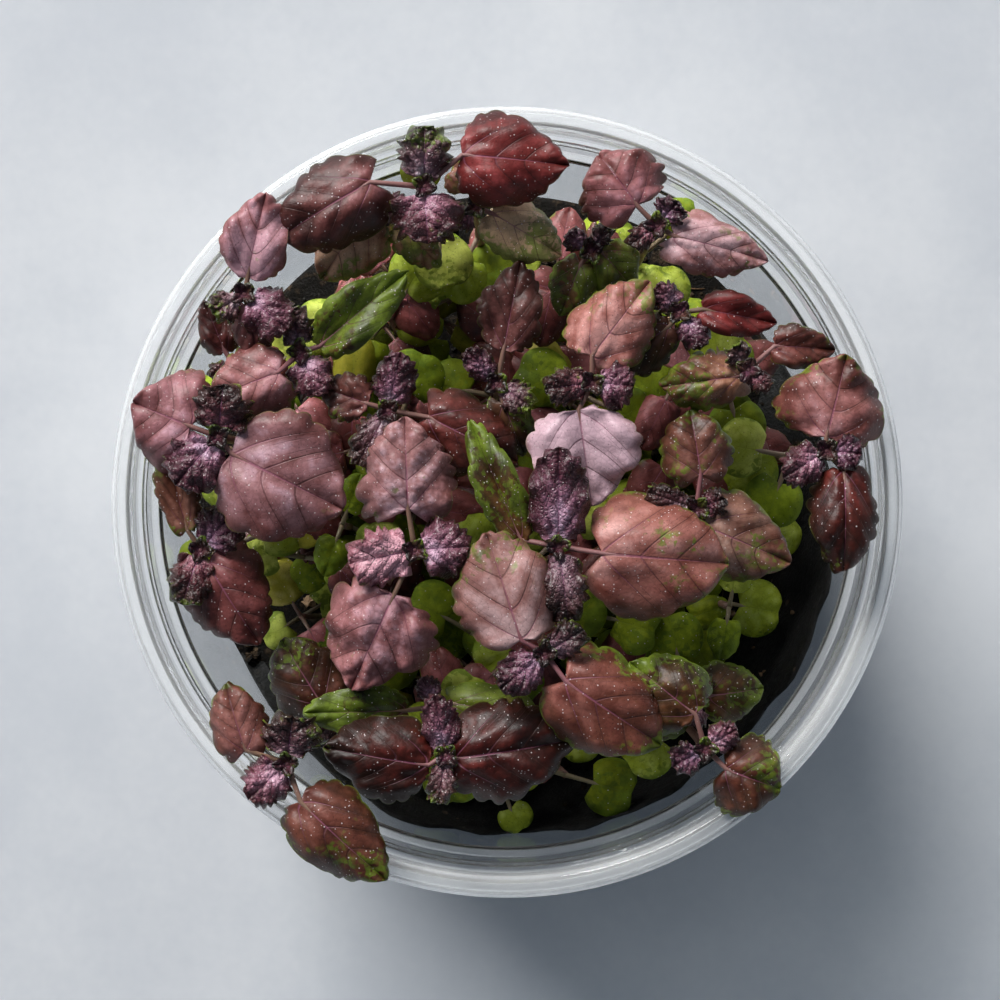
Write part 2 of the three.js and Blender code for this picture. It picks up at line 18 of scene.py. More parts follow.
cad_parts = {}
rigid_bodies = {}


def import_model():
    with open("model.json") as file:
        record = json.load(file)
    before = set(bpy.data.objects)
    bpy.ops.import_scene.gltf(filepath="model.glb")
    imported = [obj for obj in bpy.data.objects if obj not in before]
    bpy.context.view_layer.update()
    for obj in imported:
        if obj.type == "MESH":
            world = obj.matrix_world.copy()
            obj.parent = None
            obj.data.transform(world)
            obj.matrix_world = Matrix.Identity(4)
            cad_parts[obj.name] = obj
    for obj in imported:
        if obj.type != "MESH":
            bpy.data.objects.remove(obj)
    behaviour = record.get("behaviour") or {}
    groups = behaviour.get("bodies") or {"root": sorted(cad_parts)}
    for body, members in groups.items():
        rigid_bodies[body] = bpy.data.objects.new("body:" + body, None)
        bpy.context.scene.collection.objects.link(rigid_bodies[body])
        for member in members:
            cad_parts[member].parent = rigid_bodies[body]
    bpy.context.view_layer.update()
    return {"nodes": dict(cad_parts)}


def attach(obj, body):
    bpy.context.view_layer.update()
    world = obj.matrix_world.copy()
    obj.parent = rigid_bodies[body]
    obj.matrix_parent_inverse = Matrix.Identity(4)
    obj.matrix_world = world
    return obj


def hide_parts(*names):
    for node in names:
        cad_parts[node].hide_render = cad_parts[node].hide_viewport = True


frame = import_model()
MM = 0.001

# %% [markdown]
# The picture was taken from straight above, with a long lens, so the tub's wall is hardly seen on
# its inside. The camera looks straight down on the rim from 450 mm above it, a little left of the
# tub's axis. A wide lens nearer to the tub would show more of the wall, and the leaves would lean
# outwards.

# %% Camera
RIM_PLANE = 62 * MM
CAMERA_RISE = 450 * MM
VIEW_WIDTH = 147.5 * MM

bpy.ops.object.select_all(action="DESELECT")
bpy.ops.object.camera_add(location=(-1.04 * MM, 0.3 * MM, RIM_PLANE + CAMERA_RISE), rotation=(0, 0, 0))
camera = bpy.context.object
camera.data.sensor_width = 36
camera.data.lens = 36 * CAMERA_RISE / VIEW_WIDTH
camera.data.clip_start = 0.01
bpy.context.scene.camera = camera
print("lens", round(camera.data.lens, 1), "mm")

# %% [markdown]
# Every piece starts as a primitive and is shaped in edit mode. An operator works on all that is
# selected, so each step starts by letting go of everything, and then picks points by their place.

# %% Picking and shaping


def let_go():
    if bpy.context.object and bpy.context.object.mode != "OBJECT":
        bpy.ops.object.mode_set(mode="OBJECT")
    bpy.ops.object.select_all(action="DESELECT")


def take(*objects):
    let_go()
    for piece in objects:
        piece.select_set(True)
    bpy.context.view_layer.objects.active = objects[0]


def pick_points(piece, wanted):
    """Selects the points whose place answers to wanted(x, y, z), and opens edit mode."""
    take(piece)
    bpy.ops.object.mode_set(mode="EDIT")
    bpy.ops.mesh.select_mode(type="VERT")
    bpy.ops.mesh.select_all(action="DESELECT")
    bpy.ops.object.mode_set(mode="OBJECT")
    for point in piece.data.vertices:
        point.select = wanted(*point.co)
    bpy.ops.object.mode_set(mode="EDIT")


def apply_modifier(piece, kind, **settings):
    take(piece)
    modifier = piece.modifiers.new(kind.title(), kind)
    for name, value in settings.items():
        setattr(modifier, name, value)
    bpy.ops.object.modifier_apply(modifier=modifier.name)


def close_up(piece):
    """Merges points that lie on each other and turns all faces outwards."""
    take(piece)
    bpy.ops.object.mode_set(mode="EDIT")
    bpy.ops.mesh.select_all(action="SELECT")
    bpy.ops.mesh.remove_doubles(threshold=1e-6)
    bpy.ops.mesh.normals_make_consistent(inside=False)
    bpy.ops.object.mode_set(mode="OBJECT")


def smooth(piece):
    take(piece)
    bpy.ops.object.shade_smooth()


def dress(piece, *finishes):
    """The piece gets these finishes in place of any that it has."""
    piece.data.materials.clear()
    for finish in finishes:
        piece.data.materials.append(finish)


def turn_profile(name, profile, round_offs, steps):
    """A turned shape: one point is extruded along the profile, corners are rounded, and it is spun."""
    let_go()
    bpy.ops.mesh.primitive_plane_add(size=MM, location=(0, 0, 0))
    piece = bpy.context.object
    piece.name = piece.data.name = name
    bpy.ops.object.mode_set(mode="EDIT")
    bpy.ops.mesh.merge(type="CENTER")
    bpy.ops.transform.translate(value=(profile[0][0] * MM, 0, profile[0][1] * MM))
    for (r0, z0), (r1, z1) in zip(profile, profile[1:]):
        step = ((r1 - r0) * MM, 0, (z1 - z0) * MM)
        bpy.ops.mesh.extrude_region_move(TRANSFORM_OT_translate={"value": step})
    bpy.ops.object.mode_set(mode="OBJECT")
    for radius, segments, wanted in round_offs:
        pick_points(piece, wanted)
        bpy.ops.mesh.bevel(affect="VERTICES", offset=radius * MM, segments=segments)
        bpy.ops.object.mode_set(mode="OBJECT")
    take(piece)
    bpy.ops.object.mode_set(mode="EDIT")
    bpy.ops.mesh.select_all(action="SELECT")
    bpy.ops.mesh.spin(steps=steps, angle=2 * math.pi, center=(0, 0, 0), axis=(0, 0, 1))
    bpy.ops.object.mode_set(mode="OBJECT")
    close_up(piece)
    return piece


def settle_piece(piece, slot, *nodes):
    """The finished piece moves with the tub and takes the place of its CAD nodes. slot is not used."""
    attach(piece, "root")
    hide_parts(*nodes)


# %% [markdown]
# Materials are drawn with shader nodes. To keep that short, what runs from node to node is wrapped
# as a wire, and arithmetic with wires adds Math nodes, so that a formula here reads as a formula. An
# effect that several finishes share is a node group, built once.

# %% Node helpers


class Wire:
    """What one node's output sends to others."""

    def __init__(self, socket):
        self.socket, self.tree = socket, socket.id_data

    def __add__(self, other):
        return maths("ADD", self, other)

    def __sub__(self, other):
        return maths("SUBTRACT", self, other)

    def __rsub__(self, other):
        return maths("SUBTRACT", other, self)

    def __mul__(self, other):
        return maths("MULTIPLY", self, other)

    def __truediv__(self, other):
        return maths("DIVIDE", self, other)

    def __pow__(self, other):
        return maths("POWER", self, other)

    __radd__, __rmul__ = __add__, __mul__


class Outputs:
    """A node's outputs as wires, by name or number."""

    def __init__(self, node):
        self.node = node

    def __getitem__(self, name):
        return Wire(self.node.outputs[name])


def fill(node, reads):
    """Joins wires to a node's inputs and writes values there. Colours are three numbers."""
    for name, value in reads.items():
        socket = node.inputs[name]
        if isinstance(value, Wire):
            value.tree.links.new(value.socket, socket)
        else:
            socket.default_value = (*value, 1.0) if socket.type == "RGBA" else value


def add_node(tree, kind, reads=None, **settings):
    node = tree.nodes.new(kind)
    for name, value in settings.items():
        setattr(node, name, value)
    fill(node, reads or {})
    return Outputs(node)


def tree_of(*values):
    return next(value.tree for value in values if isinstance(value, Wire))


def maths(operation, *values):
    return add_node(tree_of(*values), "ShaderNodeMath", dict(enumerate(values)), operation=operation)[0]


def mix(share, first, second, blend_type="MIX"):
    """Two colours mixed. Shares below 0 and above 1 count as 0 and 1."""
    reads = {0: share, 6: first, 7: second}
    tree = tree_of(share, first)
    return add_node(tree, "ShaderNodeMix", reads, data_type="RGBA", blend_type=blend_type)[2]


def tinted(body, tint):
    return mix(1.0, body, tint, "MULTIPLY")


def ramp_to(value, low, high, start=0.0, end=1.0):
    """Brings value from low...high to start...end, softly at both ends."""
    reads = {"Value": value, "From Min": low, "From Max": high, "To Min": start, "To Max": end}
    return add_node(value.tree, "ShaderNodeMapRange", reads, interpolation_type="SMOOTHSTEP")[0]


def noise_of(place, scale, detail, roughness):
    reads = {"Vector": place, "Scale": scale, "Detail": detail, "Roughness": roughness}
    return add_node(place.tree, "ShaderNodeTexNoise", reads)["Fac"]


def cells_of(place, scale, **settings):
    reads = {"Vector": place, "Scale": scale}
    return add_node(place.tree, "ShaderNodeTexVoronoi", reads, **settings)


def parts_of(colour):
    return add_node(colour.tree, "ShaderNodeSeparateColor", {0: colour})


def bump(height, strength, distance):
    reads = {"Height": height, "Strength": strength, "Distance": distance}
    return add_node(height.tree, "ShaderNodeBump", reads)[0]


def open_group(name, reads, gives):
    """A new node group with number inputs (vectors where the default is a tuple) and outputs."""
    group = bpy.data.node_groups.new(name, "ShaderNodeTree")
    for socket, default in reads.items():
        kind = "NodeSocketVector" if isinstance(default, tuple) else "NodeSocketFloat"
        made = group.interface.new_socket(socket, in_out="INPUT", socket_type=kind)
        made.default_value = default
    for socket in gives:
        group.interface.new_socket(socket, in_out="OUTPUT", socket_type="NodeSocketFloat")
    return group, Outputs(group.nodes.new("NodeGroupInput")), group.nodes.new("NodeGroupOutput")


def place_group(group, tree, reads):
    return add_node(tree, "ShaderNodeGroup", reads, node_tree=group)


def open_material(name):
    """An empty material with its Principled shader and output, and the place on the object."""
    material = bpy.data.materials.new(name)
    material.use_nodes = True
    tree = material.node_tree
    tree.nodes.clear()
    shader = tree.nodes.new("ShaderNodeBsdfPrincipled")
    output = tree.nodes.new("ShaderNodeOutputMaterial")
    tree.links.new(shader.outputs[0], output.inputs["Surface"])
    return material, tree, shader, output, add_node(tree, "ShaderNodeTexCoord")["Object"]


# %% [markdown]
# Veins. A shiso leaf has one midrib and four or five pairs of side veins, which leave it at half a
# right angle and bend towards the tip. The group works this out from how far along and across the
# leaf a place is, so that the veins follow every bend of the blade. It could also be painted by
# hand on an image, but then each leaf would have the same veins at one size only.

# %% Group for leaf veins


def make_vein_group():
    reads = {"Along": 0.0, "Across": 0.0, "Pairs": 4.4, "Lean": 0.4, "Bend": 0.12, "Width": 0.02}
    group, given, out = open_group("leaf_veins", reads, ["Side veins", "Forks", "Midrib", "Away"])
    along, pairs = given["Along"], given["Pairs"]
    away = maths("ABSOLUTE", given["Across"])
    start = along - away * given["Lean"] - away * away * given["Bend"]
    turn = start * pairs + 10.5
    far = maths("ABSOLUTE", maths("FRACT", turn) - 0.5) / pairs
    width = given["Width"] * (1.0 - away * 0.7)
    shown = ramp_to(start, -0.06, -0.02) * ramp_to(start, 0.84, 0.72)
    side = ramp_to(far, width * 0.2, width, 1.0, 0.0) * shown
    between = maths("ABSOLUTE", maths("FRACT", turn * 2.0) - 0.5) / (pairs * 2.0)
    fork = ramp_to(between, 0.0, width * 0.8, 1.0, 0.0) * shown * ramp_to(away, 0.25, 0.55)
    rib_width = 0.036 - along * 0.026
    rib = ramp_to(away, rib_width * 0.3, rib_width, 1.0, 0.0)
    fill(out, {"Side veins": side, "Forks": fork, "Midrib": rib, "Away": away})
    return group


LEAF_VEINS = make_vein_group()
print("node group", LEAF_VEINS.name)

# %% [markdown]
# Specks. Shiso leaves carry tiny pale glands and short hairs, which show as bright dots, and dark
# pits between the finest veins. The bright dots are partly the glands' own pale colour and partly
# painted glints of light on them. Both are small round spots, scattered by one Voronoi pattern: a
# share of its cells holds a pale speck each, and the rest hold pits.

# %% Group for specks


def make_speck_group():
    reads = {"Vector": (0.0, 0.0, 0.0), "Scale": 600.0, "Size": 0.15, "Share": 0.5}
    group, given, out = open_group("fine_specks", reads, ["Specks", "Pits"])
    cells = cells_of(given["Vector"], given["Scale"])
    chance = parts_of(cells["Color"])
    kept = maths("LESS_THAN", chance[0], given["Share"])
    size = given["Size"] * (chance[1] * 0.7 + 0.5)
    spot = ramp_to(cells["Distance"], size * 0.55, size, 1.0, 0.0)
    fill(out, {"Specks": kept * spot, "Pits": (1.0 - kept) * spot * 0.8})
    return group


FINE_SPECKS = make_speck_group()
print("node group", FINE_SPECKS.name)

# %% [markdown]
# The green that shows through. Purple shiso makes its purple pigment where light falls on it, so
# shaded leaves and some tips and edges stay green. The patches are ragged, because they end at the
# finest veins: each small cell of a Voronoi pattern is either green or not. The group adds a noise,
# a random number for each cell, and how near the tip or edge the place is.

# %% Group for green patches


def make_green_group():
    reads = {"Vector": (0.0, 0.0, 0.0), "Amount": 0.0, "Edge": 0.0, "Along": 0.0}
    group, given, out = open_group("green_patches", reads, ["Green"])
    place, amount = given["Vector"], given["Amount"]
    broad = noise_of(place, 150.0, 3.0, 0.62)
    cells = parts_of(cells_of(place, 1500.0)["Color"])[0]
    outer = (given["Edge"] ** 9.0 * 0.17 + given["Along"] ** 2.5 * 0.15) * ramp_to(amount, 0.0, 0.3)
    level = broad * 0.8 + cells * 0.16 + amount * 0.38 - 0.24 + outer
    fill(out, {"Green": ramp_to(level, 0.485, 0.6)})
    return group


GREEN_PATCHES = make_green_group()
print("node group", GREEN_PATCHES.name)

# %% [markdown]
# Leaf finishes. All leaves share one way of colouring: a row of tones from dark to pale, green
# patches, pink veins, pale and dark specks, and a fine grain in the surface. Each point of a blade
# carries four numbers in an attribute named look: its tone, how red it is, how much green it has,
# and how near the edge it lies. Another attribute, named swell, says how high the point stands
# between the veins; it makes the colour paler on these crests and darker in the valleys, as painted
# highlight and painted shade. The first leaves are satin, the young leaves are glossier, and the
# seed leaves are dull.

# %% Leaf material
WINE = (1.3, 0.4, 0.38)
PURPLE_TINT = (1.2, 0.6, 0.9)
PLUM_TINT = (0.98, 0.96, 1.14)
OLIVE_TINT = (0.92, 0.9, 0.5)
LEAF_GREENS = ((0.045, 0.07, 0.003), (0.19, 0.28, 0.02))
GLAND_AND_GLINT = (0.88, 0.77, 0.77)
NET_SCALE = 1000.0


def read_look(tree):
    """What a leaf's point carries: tone, redness, green and edge, and its place along and across."""
    look = add_node(tree, "ShaderNodeAttribute", attribute_name="look")
    chart = add_node(tree, "ShaderNodeUVMap", uv_map="UVMap")[0]
    place = add_node(tree, "ShaderNodeSeparateXYZ", {0: chart})
    look_parts = parts_of(look["Color"])
    return look_parts[0], look_parts[1], look_parts[2], look["Alpha"], place[0], place[1] * 2.0 - 1.0


def tone_row(value, tones):
    """A row of colours at even steps from 0 to 1."""
    row = add_node(value.tree, "ShaderNodeValToRGB", {0: value})
    steps = row.node.color_ramp.elements
    for _ in tones[2:]:
        steps.new(0.5)
    for i, tone in enumerate(tones):
        steps[i].position = i / (len(tones) - 1)
        steps[i].color = (*tone, 1.0)
    return row[0]


def leaf_material(
    name, tones, red, vein, veining, layout, shine, relief, specks, centre_tone_and_sheen=0.3,
    net=0.3, net_scale=NET_SCALE, wax_coat=0.0, gloss=0.32,
):
    """Veining is how strongly the veins show, layout where they run, net the fine veins' relief."""
    material, tree, shader, _, place = open_material(name)
    tone, redness, greenness, edge, along, across = read_look(tree)
    swell = add_node(tree, "ShaderNodeAttribute", attribute_name="swell")["Fac"]
    clouds = noise_of(place, 210.0, 3.0, 0.62)
    grain = noise_of(place, 2600.0, 1.0, 0.6)
    reads = dict(zip(("Pairs", "Lean", "Bend"), layout))
    veins = place_group(LEAF_VEINS, tree, {"Along": along, "Across": across, "Width": 0.016, **reads})
    reads = {"Vector": place, "Amount": greenness, "Edge": edge, "Along": along}
    patches = place_group(GREEN_PATCHES, tree, reads)["Green"]
    reads = {"Vector": place, "Scale": 2000.0, "Size": 0.24, "Share": specks}
    glands_and_glints = place_group(FINE_SPECKS, tree, reads)
    fine_net = cells_of(place, net_scale, feature="DISTANCE_TO_EDGE")["Distance"]

    # Paler lilac towards the base and the midrib: partly the leaf's own colour, partly painted sheen.
    middle = (1.0 - along) * (1.0 - veins["Away"])
    # swell makes the colour paler on the raised crests and darker in the valleys: painted highlight and painted
    # shade.
    pale = tone + clouds * 0.9 + middle * centre_tone_and_sheen + swell * 0.22 - (0.6 + 0.25 * centre_tone_and_sheen)
    body = tone_row(pale, tones)
    body = mix(redness, body, tinted(body, red))
    body = mix(1.0 - greenness * 2.5, body, tinted(body, PLUM_TINT))
    body = mix(greenness * 2.2 - 0.5, body, tinted(body, OLIVE_TINT))
    leaf_green = mix(ramp_to(clouds, 0.3, 0.7), *LEAF_GREENS)
    body = mix(greenness * 0.14, body, leaf_green)
    body = mix(patches * 0.78, body, leaf_green)
    body = mix(ramp_to(fine_net, 0.0, 0.1, 0.16, 0.0), body, tones[0])

    side = maths("MAXIMUM", veins["Side veins"] * 0.75, veins["Forks"] * 0.4)
    body = mix(side * veining, body, mix(ramp_to(along, 0.05, 0.5), vein, tones[1]))
    body = mix(veins["Midrib"] * (1.0 - along * 0.75) * veining, body, vein)
    body = mix(glands_and_glints["Pits"] * 0.6, body, tones[0])
    # Pale specks: partly the glands' own pale colour, partly painted glints.
    body = mix(glands_and_glints["Specks"] * 0.7, body, GLAND_AND_GLINT)
    # A thin green line along the edge: partly the margin's own green, partly painted light on the curled edge.
    body = mix(ramp_to(edge, 0.965, 1.0) * (greenness * 0.6 + 0.12), body, LEAF_GREENS[1])
    height = ramp_to(fine_net, 0.0, 0.3) * net + grain * 0.6 - maths("MAXIMUM", side, veins["Midrib"])
    fill(shader, {
        "Base Color": body, "Roughness": clouds * 0.3 + grain * 0.12 + (shine - 0.15),
        "Normal": bump(height, relief, 0.12 * MM), "Specular IOR Level": gloss,
        "Coat Weight": wax_coat, "Coat Roughness": 0.3,
    })
    return material


PLUM = [(0.013, 0.003, 0.002), (0.052, 0.014, 0.011), (0.15, 0.058, 0.05), (0.33, 0.178, 0.17), (0.62, 0.47, 0.49)]
PLUM_UNDER = [(0.03, 0.014, 0.012), (0.09, 0.045, 0.04), (0.17, 0.09, 0.085), (0.3, 0.19, 0.185)]
NIGHT = [(0.008, 0.002, 0.003), (0.034, 0.009, 0.013), (0.105, 0.038, 0.055), (0.28, 0.15, 0.2), (0.62, 0.5, 0.6)]
PINK_VEIN = (0.3, 0.09, 0.15)
FIRST_VEINS = (3.5, 0.36, 0.3)
YOUNG_VEINS = (3.6, 0.5, 0.3)

first_upper = leaf_material(
    "first_leaf_upper", PLUM, WINE, PINK_VEIN, 0.75, FIRST_VEINS, 0.42, 0.6, 0.34, 0.35, net=0.2, wax_coat=0.1
)
first_under = leaf_material(
    "first_leaf_underside", PLUM_UNDER, WINE, PINK_VEIN, 0.8, FIRST_VEINS, 0.55, 0.5, 0.12
)
young_upper = leaf_material(
    "young_leaf_upper", NIGHT, WINE, (0.45, 0.19, 0.33), 0.95, YOUNG_VEINS, 0.3, 0.95, 0.4, 0.8,
    net=1.1, net_scale=1500.0, wax_coat=0.3,
)
young_under = leaf_material(
    "young_leaf_underside", PLUM_UNDER, WINE, PINK_VEIN, 0.9, YOUNG_VEINS, 0.5, 0.6, 0.2
)
print("leaf finishes:", [m.name for m in (first_upper, first_under, young_upper, young_under)])

# %% [markdown]
# Seed leaves and the first leaves of small seedlings are green, duller and flatter than the purple
# ones. They are coloured in the same way, from other tones.

# %% Seed leaf and green leaf materials
SEED_TONES = [(0.045, 0.07, 0.001), (0.16, 0.225, 0.004), (0.32, 0.41, 0.03), (0.52, 0.62, 0.15)]
GREEN_TONES = [(0.04, 0.066, 0.002), (0.15, 0.22, 0.006), (0.33, 0.44, 0.03), (0.52, 0.64, 0.12)]
PALE_TONES = [(0.05, 0.06, 0.02), (0.12, 0.15, 0.05), (0.24, 0.28, 0.11)]
SEED_VEINS = (2.6, 0.5, 0.1)
GREEN_VEINS = (3.6, 0.35, 0.1)

seed_upper, seed_under, green_upper, green_under = [
    leaf_material(name, tones, PURPLE_TINT, vein, *numbers, gloss=0.2)
    for name, tones, vein, *numbers in (
        ("seed_leaf_upper", SEED_TONES, (0.16, 0.2, 0.04), 0.3, SEED_VEINS, 0.62, 0.3, 0.12, 0.15, 0.2),
        ("seed_leaf_underside", PALE_TONES, (0.2, 0.24, 0.1), 0.3, SEED_VEINS, 0.62, 0.25, 0.05, 0.1),
        ("green_leaf_upper", GREEN_TONES, (0.12, 0.18, 0.02), 0.5, GREEN_VEINS, 0.45, 0.45, 0.15, 0.2),
        ("green_leaf_underside", PALE_TONES, (0.25, 0.3, 0.13), 0.5, GREEN_VEINS, 0.55, 0.4, 0.05, 0.1),
    )
]
print("green finishes:", [m.name for m in (seed_upper, seed_under, green_upper, green_under)])

# %% [markdown]
# Stems and leaf stalks. They are round, juicy and finely ribbed. Near the soil they are pale green
# to straw, and higher up they turn pink brown. The first number of look says how pink a point is,
# and the second how far it is from the ground.

# %% Stem material
STEM_HAIR_AND_GLINT = (0.7, 0.6, 0.55)


def stem_material(name, low, high, pink):
    material, tree, shader, _, place = open_material(name)
    tone, redness, _, _, _, across = read_look(tree)
    fine = noise_of(place, 1900.0, 1.0, 0.6)
    ribs = maths("SINE", across * 18.8)
    body = mix(redness + noise_of(place, 240.0, 2.0, 0.6) * 0.6 - 0.3, low, high)
    body = mix(tone, body, pink)
    body = mix(ramp_to(ribs + fine, 0.6, 1.5, 0.0, 0.3), body, pink)
    hairs_and_glints = place_group(FINE_SPECKS, tree, {"Vector": place, "Scale": 1700.0, "Size": 0.2, "Share": 0.4})
    fill(shader, {
        # Pale specks on the stems: partly the hairs' own colour, partly painted glints.
        "Base Color": mix(hairs_and_glints["Specks"] * 0.4, body, STEM_HAIR_AND_GLINT), "Roughness": fine * 0.25 + 0.32,
        "Normal": bump(ribs * 0.4 + fine, 0.35, 0.08 * MM),
    })
    return material


stem_skin = stem_material("stem_skin", (0.24, 0.25, 0.11), (0.2, 0.13, 0.09), (0.24, 0.075, 0.09))
stalk_skin = stem_material("leaf_stalk_skin", (0.22, 0.22, 0.07), (0.22, 0.13, 0.08), (0.29, 0.09, 0.13))
print("stem finishes:", stem_skin.name, stalk_skin.name)

# %% [markdown]
# The tub is thin clear plastic, formed in one sheet: a foot ring, a rounded corner, a wall that
# widens upwards, a shoulder, a ledge for a lid, and a rolled rim. It could be cut from a cylinder,
# but a turned profile gives every ring its true round in one go. The profile is extruded point by
# point, its corners are rounded and it is spun about the tub's axis.

# %% Tub
TUB_STEPS = 288
OUTSIDE = [
    (0, 1.2), (38, 1.2), (39.2, 0), (45.5, 0), (48.5, 2.6), (53, 50.4), (54.4, 51.6), (54.7, 56.3),
    (56.2, 57.2), (56.4, 60.6), (57.7, 60.6), (57.7, 58.8), (58.5, 58.8),
]
INSIDE = [
    (58.5, 61.3), (57.8, 62), (55.8, 61.8), (55.3, 61.1), (55.1, 58), (53.7, 57.1), (53.4, 52.4),
    (52.1, 51), (47.6, 3.4), (45.5, 2.1), (0, 2.1),
]
WALL_TOP, WALL_FOOT = INSIDE[-4:-2]
FOOT_TOP = 4 * MM
SHOULDER = 50 * MM


def wall_radius(z):
    """The wall's inner radius at a height, both in millimetres."""
    return WALL_FOOT[0] + (WALL_TOP[0] - WALL_FOOT[0]) * (z - WALL_FOOT[1]) / (WALL_TOP[1] - WALL_FOOT[1])


def is_foot_corner(x, y, z):
    return x > 44 * MM and 1e-5 < z < FOOT_TOP or 45 * MM < x < 46 * MM and z < FOOT_TOP


def is_rim_corner(x, y, z):
    return z > SHOULDER


tub = turn_profile(
    "clear_tub", OUTSIDE + INSIDE, [(0.9, 4, is_foot_corner), (0.28, 3, is_rim_corner)], TUB_STEPS
)
print("tub:", len(tub.data.polygons), "faces")

# %% [markdown]
# On the lower right of the rim there is a short flat recess in the rolled bead, where the sheet was
# gripped or a lid is lifted. It is cut with a rounded block by a Boolean modifier.

# %% Recess in the rim
NOTCH_TURN = math.radians(-48.7)
NOTCH_PLACE = (56.2 * MM, 0, 61.9 * MM)
NOTCH_SIZE = (1.3 * MM, 10.5 * MM, MM)
NOTCH_ROUNDING = 0.18 * MM

let_go()
bpy.ops.mesh.primitive_cube_add(size=1, location=NOTCH_PLACE, scale=NOTCH_SIZE)
cutter = bpy.context.object
bpy.ops.object.transform_apply(location=True, rotation=False, scale=True)
bpy.ops.object.mode_set(mode="EDIT")
bpy.ops.mesh.select_all(action="SELECT")
bpy.ops.mesh.bevel(offset=NOTCH_ROUNDING, segments=3)
bpy.ops.object.mode_set(mode="OBJECT")
cutter.rotation_euler.z = NOTCH_TURN
bpy.ops.object.transform_apply(location=False, rotation=True, scale=False)
apply_modifier(tub, "BOOLEAN", object=cutter, operation="DIFFERENCE", solver="EXACT")
bpy.data.objects.remove(cutter)
take(tub)
bpy.ops.object.shade_smooth_by_angle(angle=math.radians(32))
print("tub with its recess:", len(tub.data.polygons), "faces")

# %% [markdown]
# Clear plastic is the Principled shader with full transmission and a very low roughness, so that
# the wall mirrors the soil where it is seen at a slant. The ledge and the rolled rim are thicker and
# slightly milky, so a part of their light is scattered inside: their transmission is lower. A ray
# that tests for shadow meets a transparent shader instead, so that the lamps light the soil and
# leaves through the wall.

# %% Clear plastic


def clear_plastic(name, transmission, roughness, clear_colour, haze_colour):
    material, tree, shader, output, place = open_material(name)
    haze = noise_of(place, 260.0, 2.0, 0.6)
    fill(shader, {
        "Transmission Weight": transmission, "IOR": 1.46,
        "Base Color": mix(ramp_to(haze, 0.4, 0.8), clear_colour, haze_colour),
        "Roughness": ramp_to(haze, 0.4, 0.8, roughness, roughness + 0.005),
    })
    clear = add_node(tree, "ShaderNodeBsdfTransparent", {"Color": (0.9, 0.92, 0.93)})[0]
    shadow = add_node(tree, "ShaderNodeLightPath")["Is Shadow Ray"]
    mixed = add_node(tree, "ShaderNodeMixShader", {0: shadow, 1: Wire(shader.outputs[0]), 2: clear})
    fill(output, {"Surface": mixed[0]})
    return material


dress(
    tub,
    # The wall's tint is greyer than the ledge's and the rim's: painted shade, which darkens the band of wall round
    # the soil.
    clear_plastic("clear_plastic_wall_shade_tint", 1.0, 0.008, (0.8, 0.82, 0.83), (0.76, 0.78, 0.79)),
    clear_plastic("clear_plastic_ledge", 0.95, 0.012, (0.96, 0.97, 0.975), (0.945, 0.955, 0.965)),
    clear_plastic("clear_plastic_rim", 0.8, 0.015, (0.98, 0.985, 0.99), (0.965, 0.975, 0.98)),
)
LEDGE_LEVEL = 49.6 * MM
RIM_LEVEL = 57.6 * MM
LEDGE_CORNER = (48.8 * MM, 51.3 * MM)
EDGE_RADIUS = 58.15 * MM
for face in tub.data.polygons:
    height, radius = face.center.z, math.hypot(face.center.x, face.center.y)
    milky = height > RIM_LEVEL and radius < EDGE_RADIUS or LEDGE_CORNER[0] < height < LEDGE_CORNER[1]
    face.material_index = 2 if milky else int(height > LEDGE_LEVEL)
settle_piece(tub, "clear_plastic", "tub")
print("tub finishes:", [m.name for m in tub.data.materials])

# %% [markdown]
# The soil is dark, peaty and loose. Its top is lumpy with crumbs of all sizes and a few brown
# fibres, and its side lies against the clear wall. The body is turned like the tub, with many
# rings, and Displace modifiers with cloud textures raise the lumps. The crumbs come after it.

# %% Soil body
SOIL_LEVEL = 22.3
SOIL_RING_STEP = 1.1
side_heights = np.linspace(4.2, SOIL_LEVEL - 0.3, 20)
top_radii = np.arange(wall_radius(SOIL_LEVEL) - 0.8, 0.5, -SOIL_RING_STEP)
soil_profile = [(0, 2.45), (45.1, 2.45)]
soil_profile += [(wall_radius(z) - 0.12, z) for z in side_heights]
soil_profile += [(r, SOIL_LEVEL) for r in top_radii] + [(0, SOIL_LEVEL)]
soil = turn_profile("soil_bed", soil_profile, [], 132)


def raise_lumps(piece, name, size, strength, middle, wanted):
    """A Displace modifier with a cloud texture, on the points that wanted(x, y, z) picks."""
    texture = bpy.data.textures.new(name, "CLOUDS")
    texture.noise_scale = size
    texture.noise_depth = 3
    group = piece.vertex_groups.new(name=name)
    group.add([p.index for p in piece.data.vertices if wanted(*p.co)], 1.0, "REPLACE")
    apply_modifier(piece, "DISPLACE", texture=texture, strength=strength, mid_level=middle, vertex_group=name)


def on_top(x, y, z):
    return z > (SOIL_LEVEL - 0.1) * MM


def off_edge(x, y, z):
    return z > (SOIL_LEVEL - 0.9) * MM and math.hypot(x, y) < 48.5 * MM


def on_side(x, y, z):
    return 5 * MM < z < (SOIL_LEVEL - 0.6) * MM and math.hypot(x, y) > 40 * MM


raise_lumps(soil, "broad_lumps", 9 * MM, 1.6 * MM, 0.5, on_top)
raise_lumps(soil, "crumb_lumps", 2.2 * MM, 1.1 * MM, 0.5, off_edge)
raise_lumps(soil, "side_lumps", 2.0 * MM, 0.55 * MM, 0.95, on_side)
smooth(soil)
print("soil body:", len(soil.data.polygons), "faces")
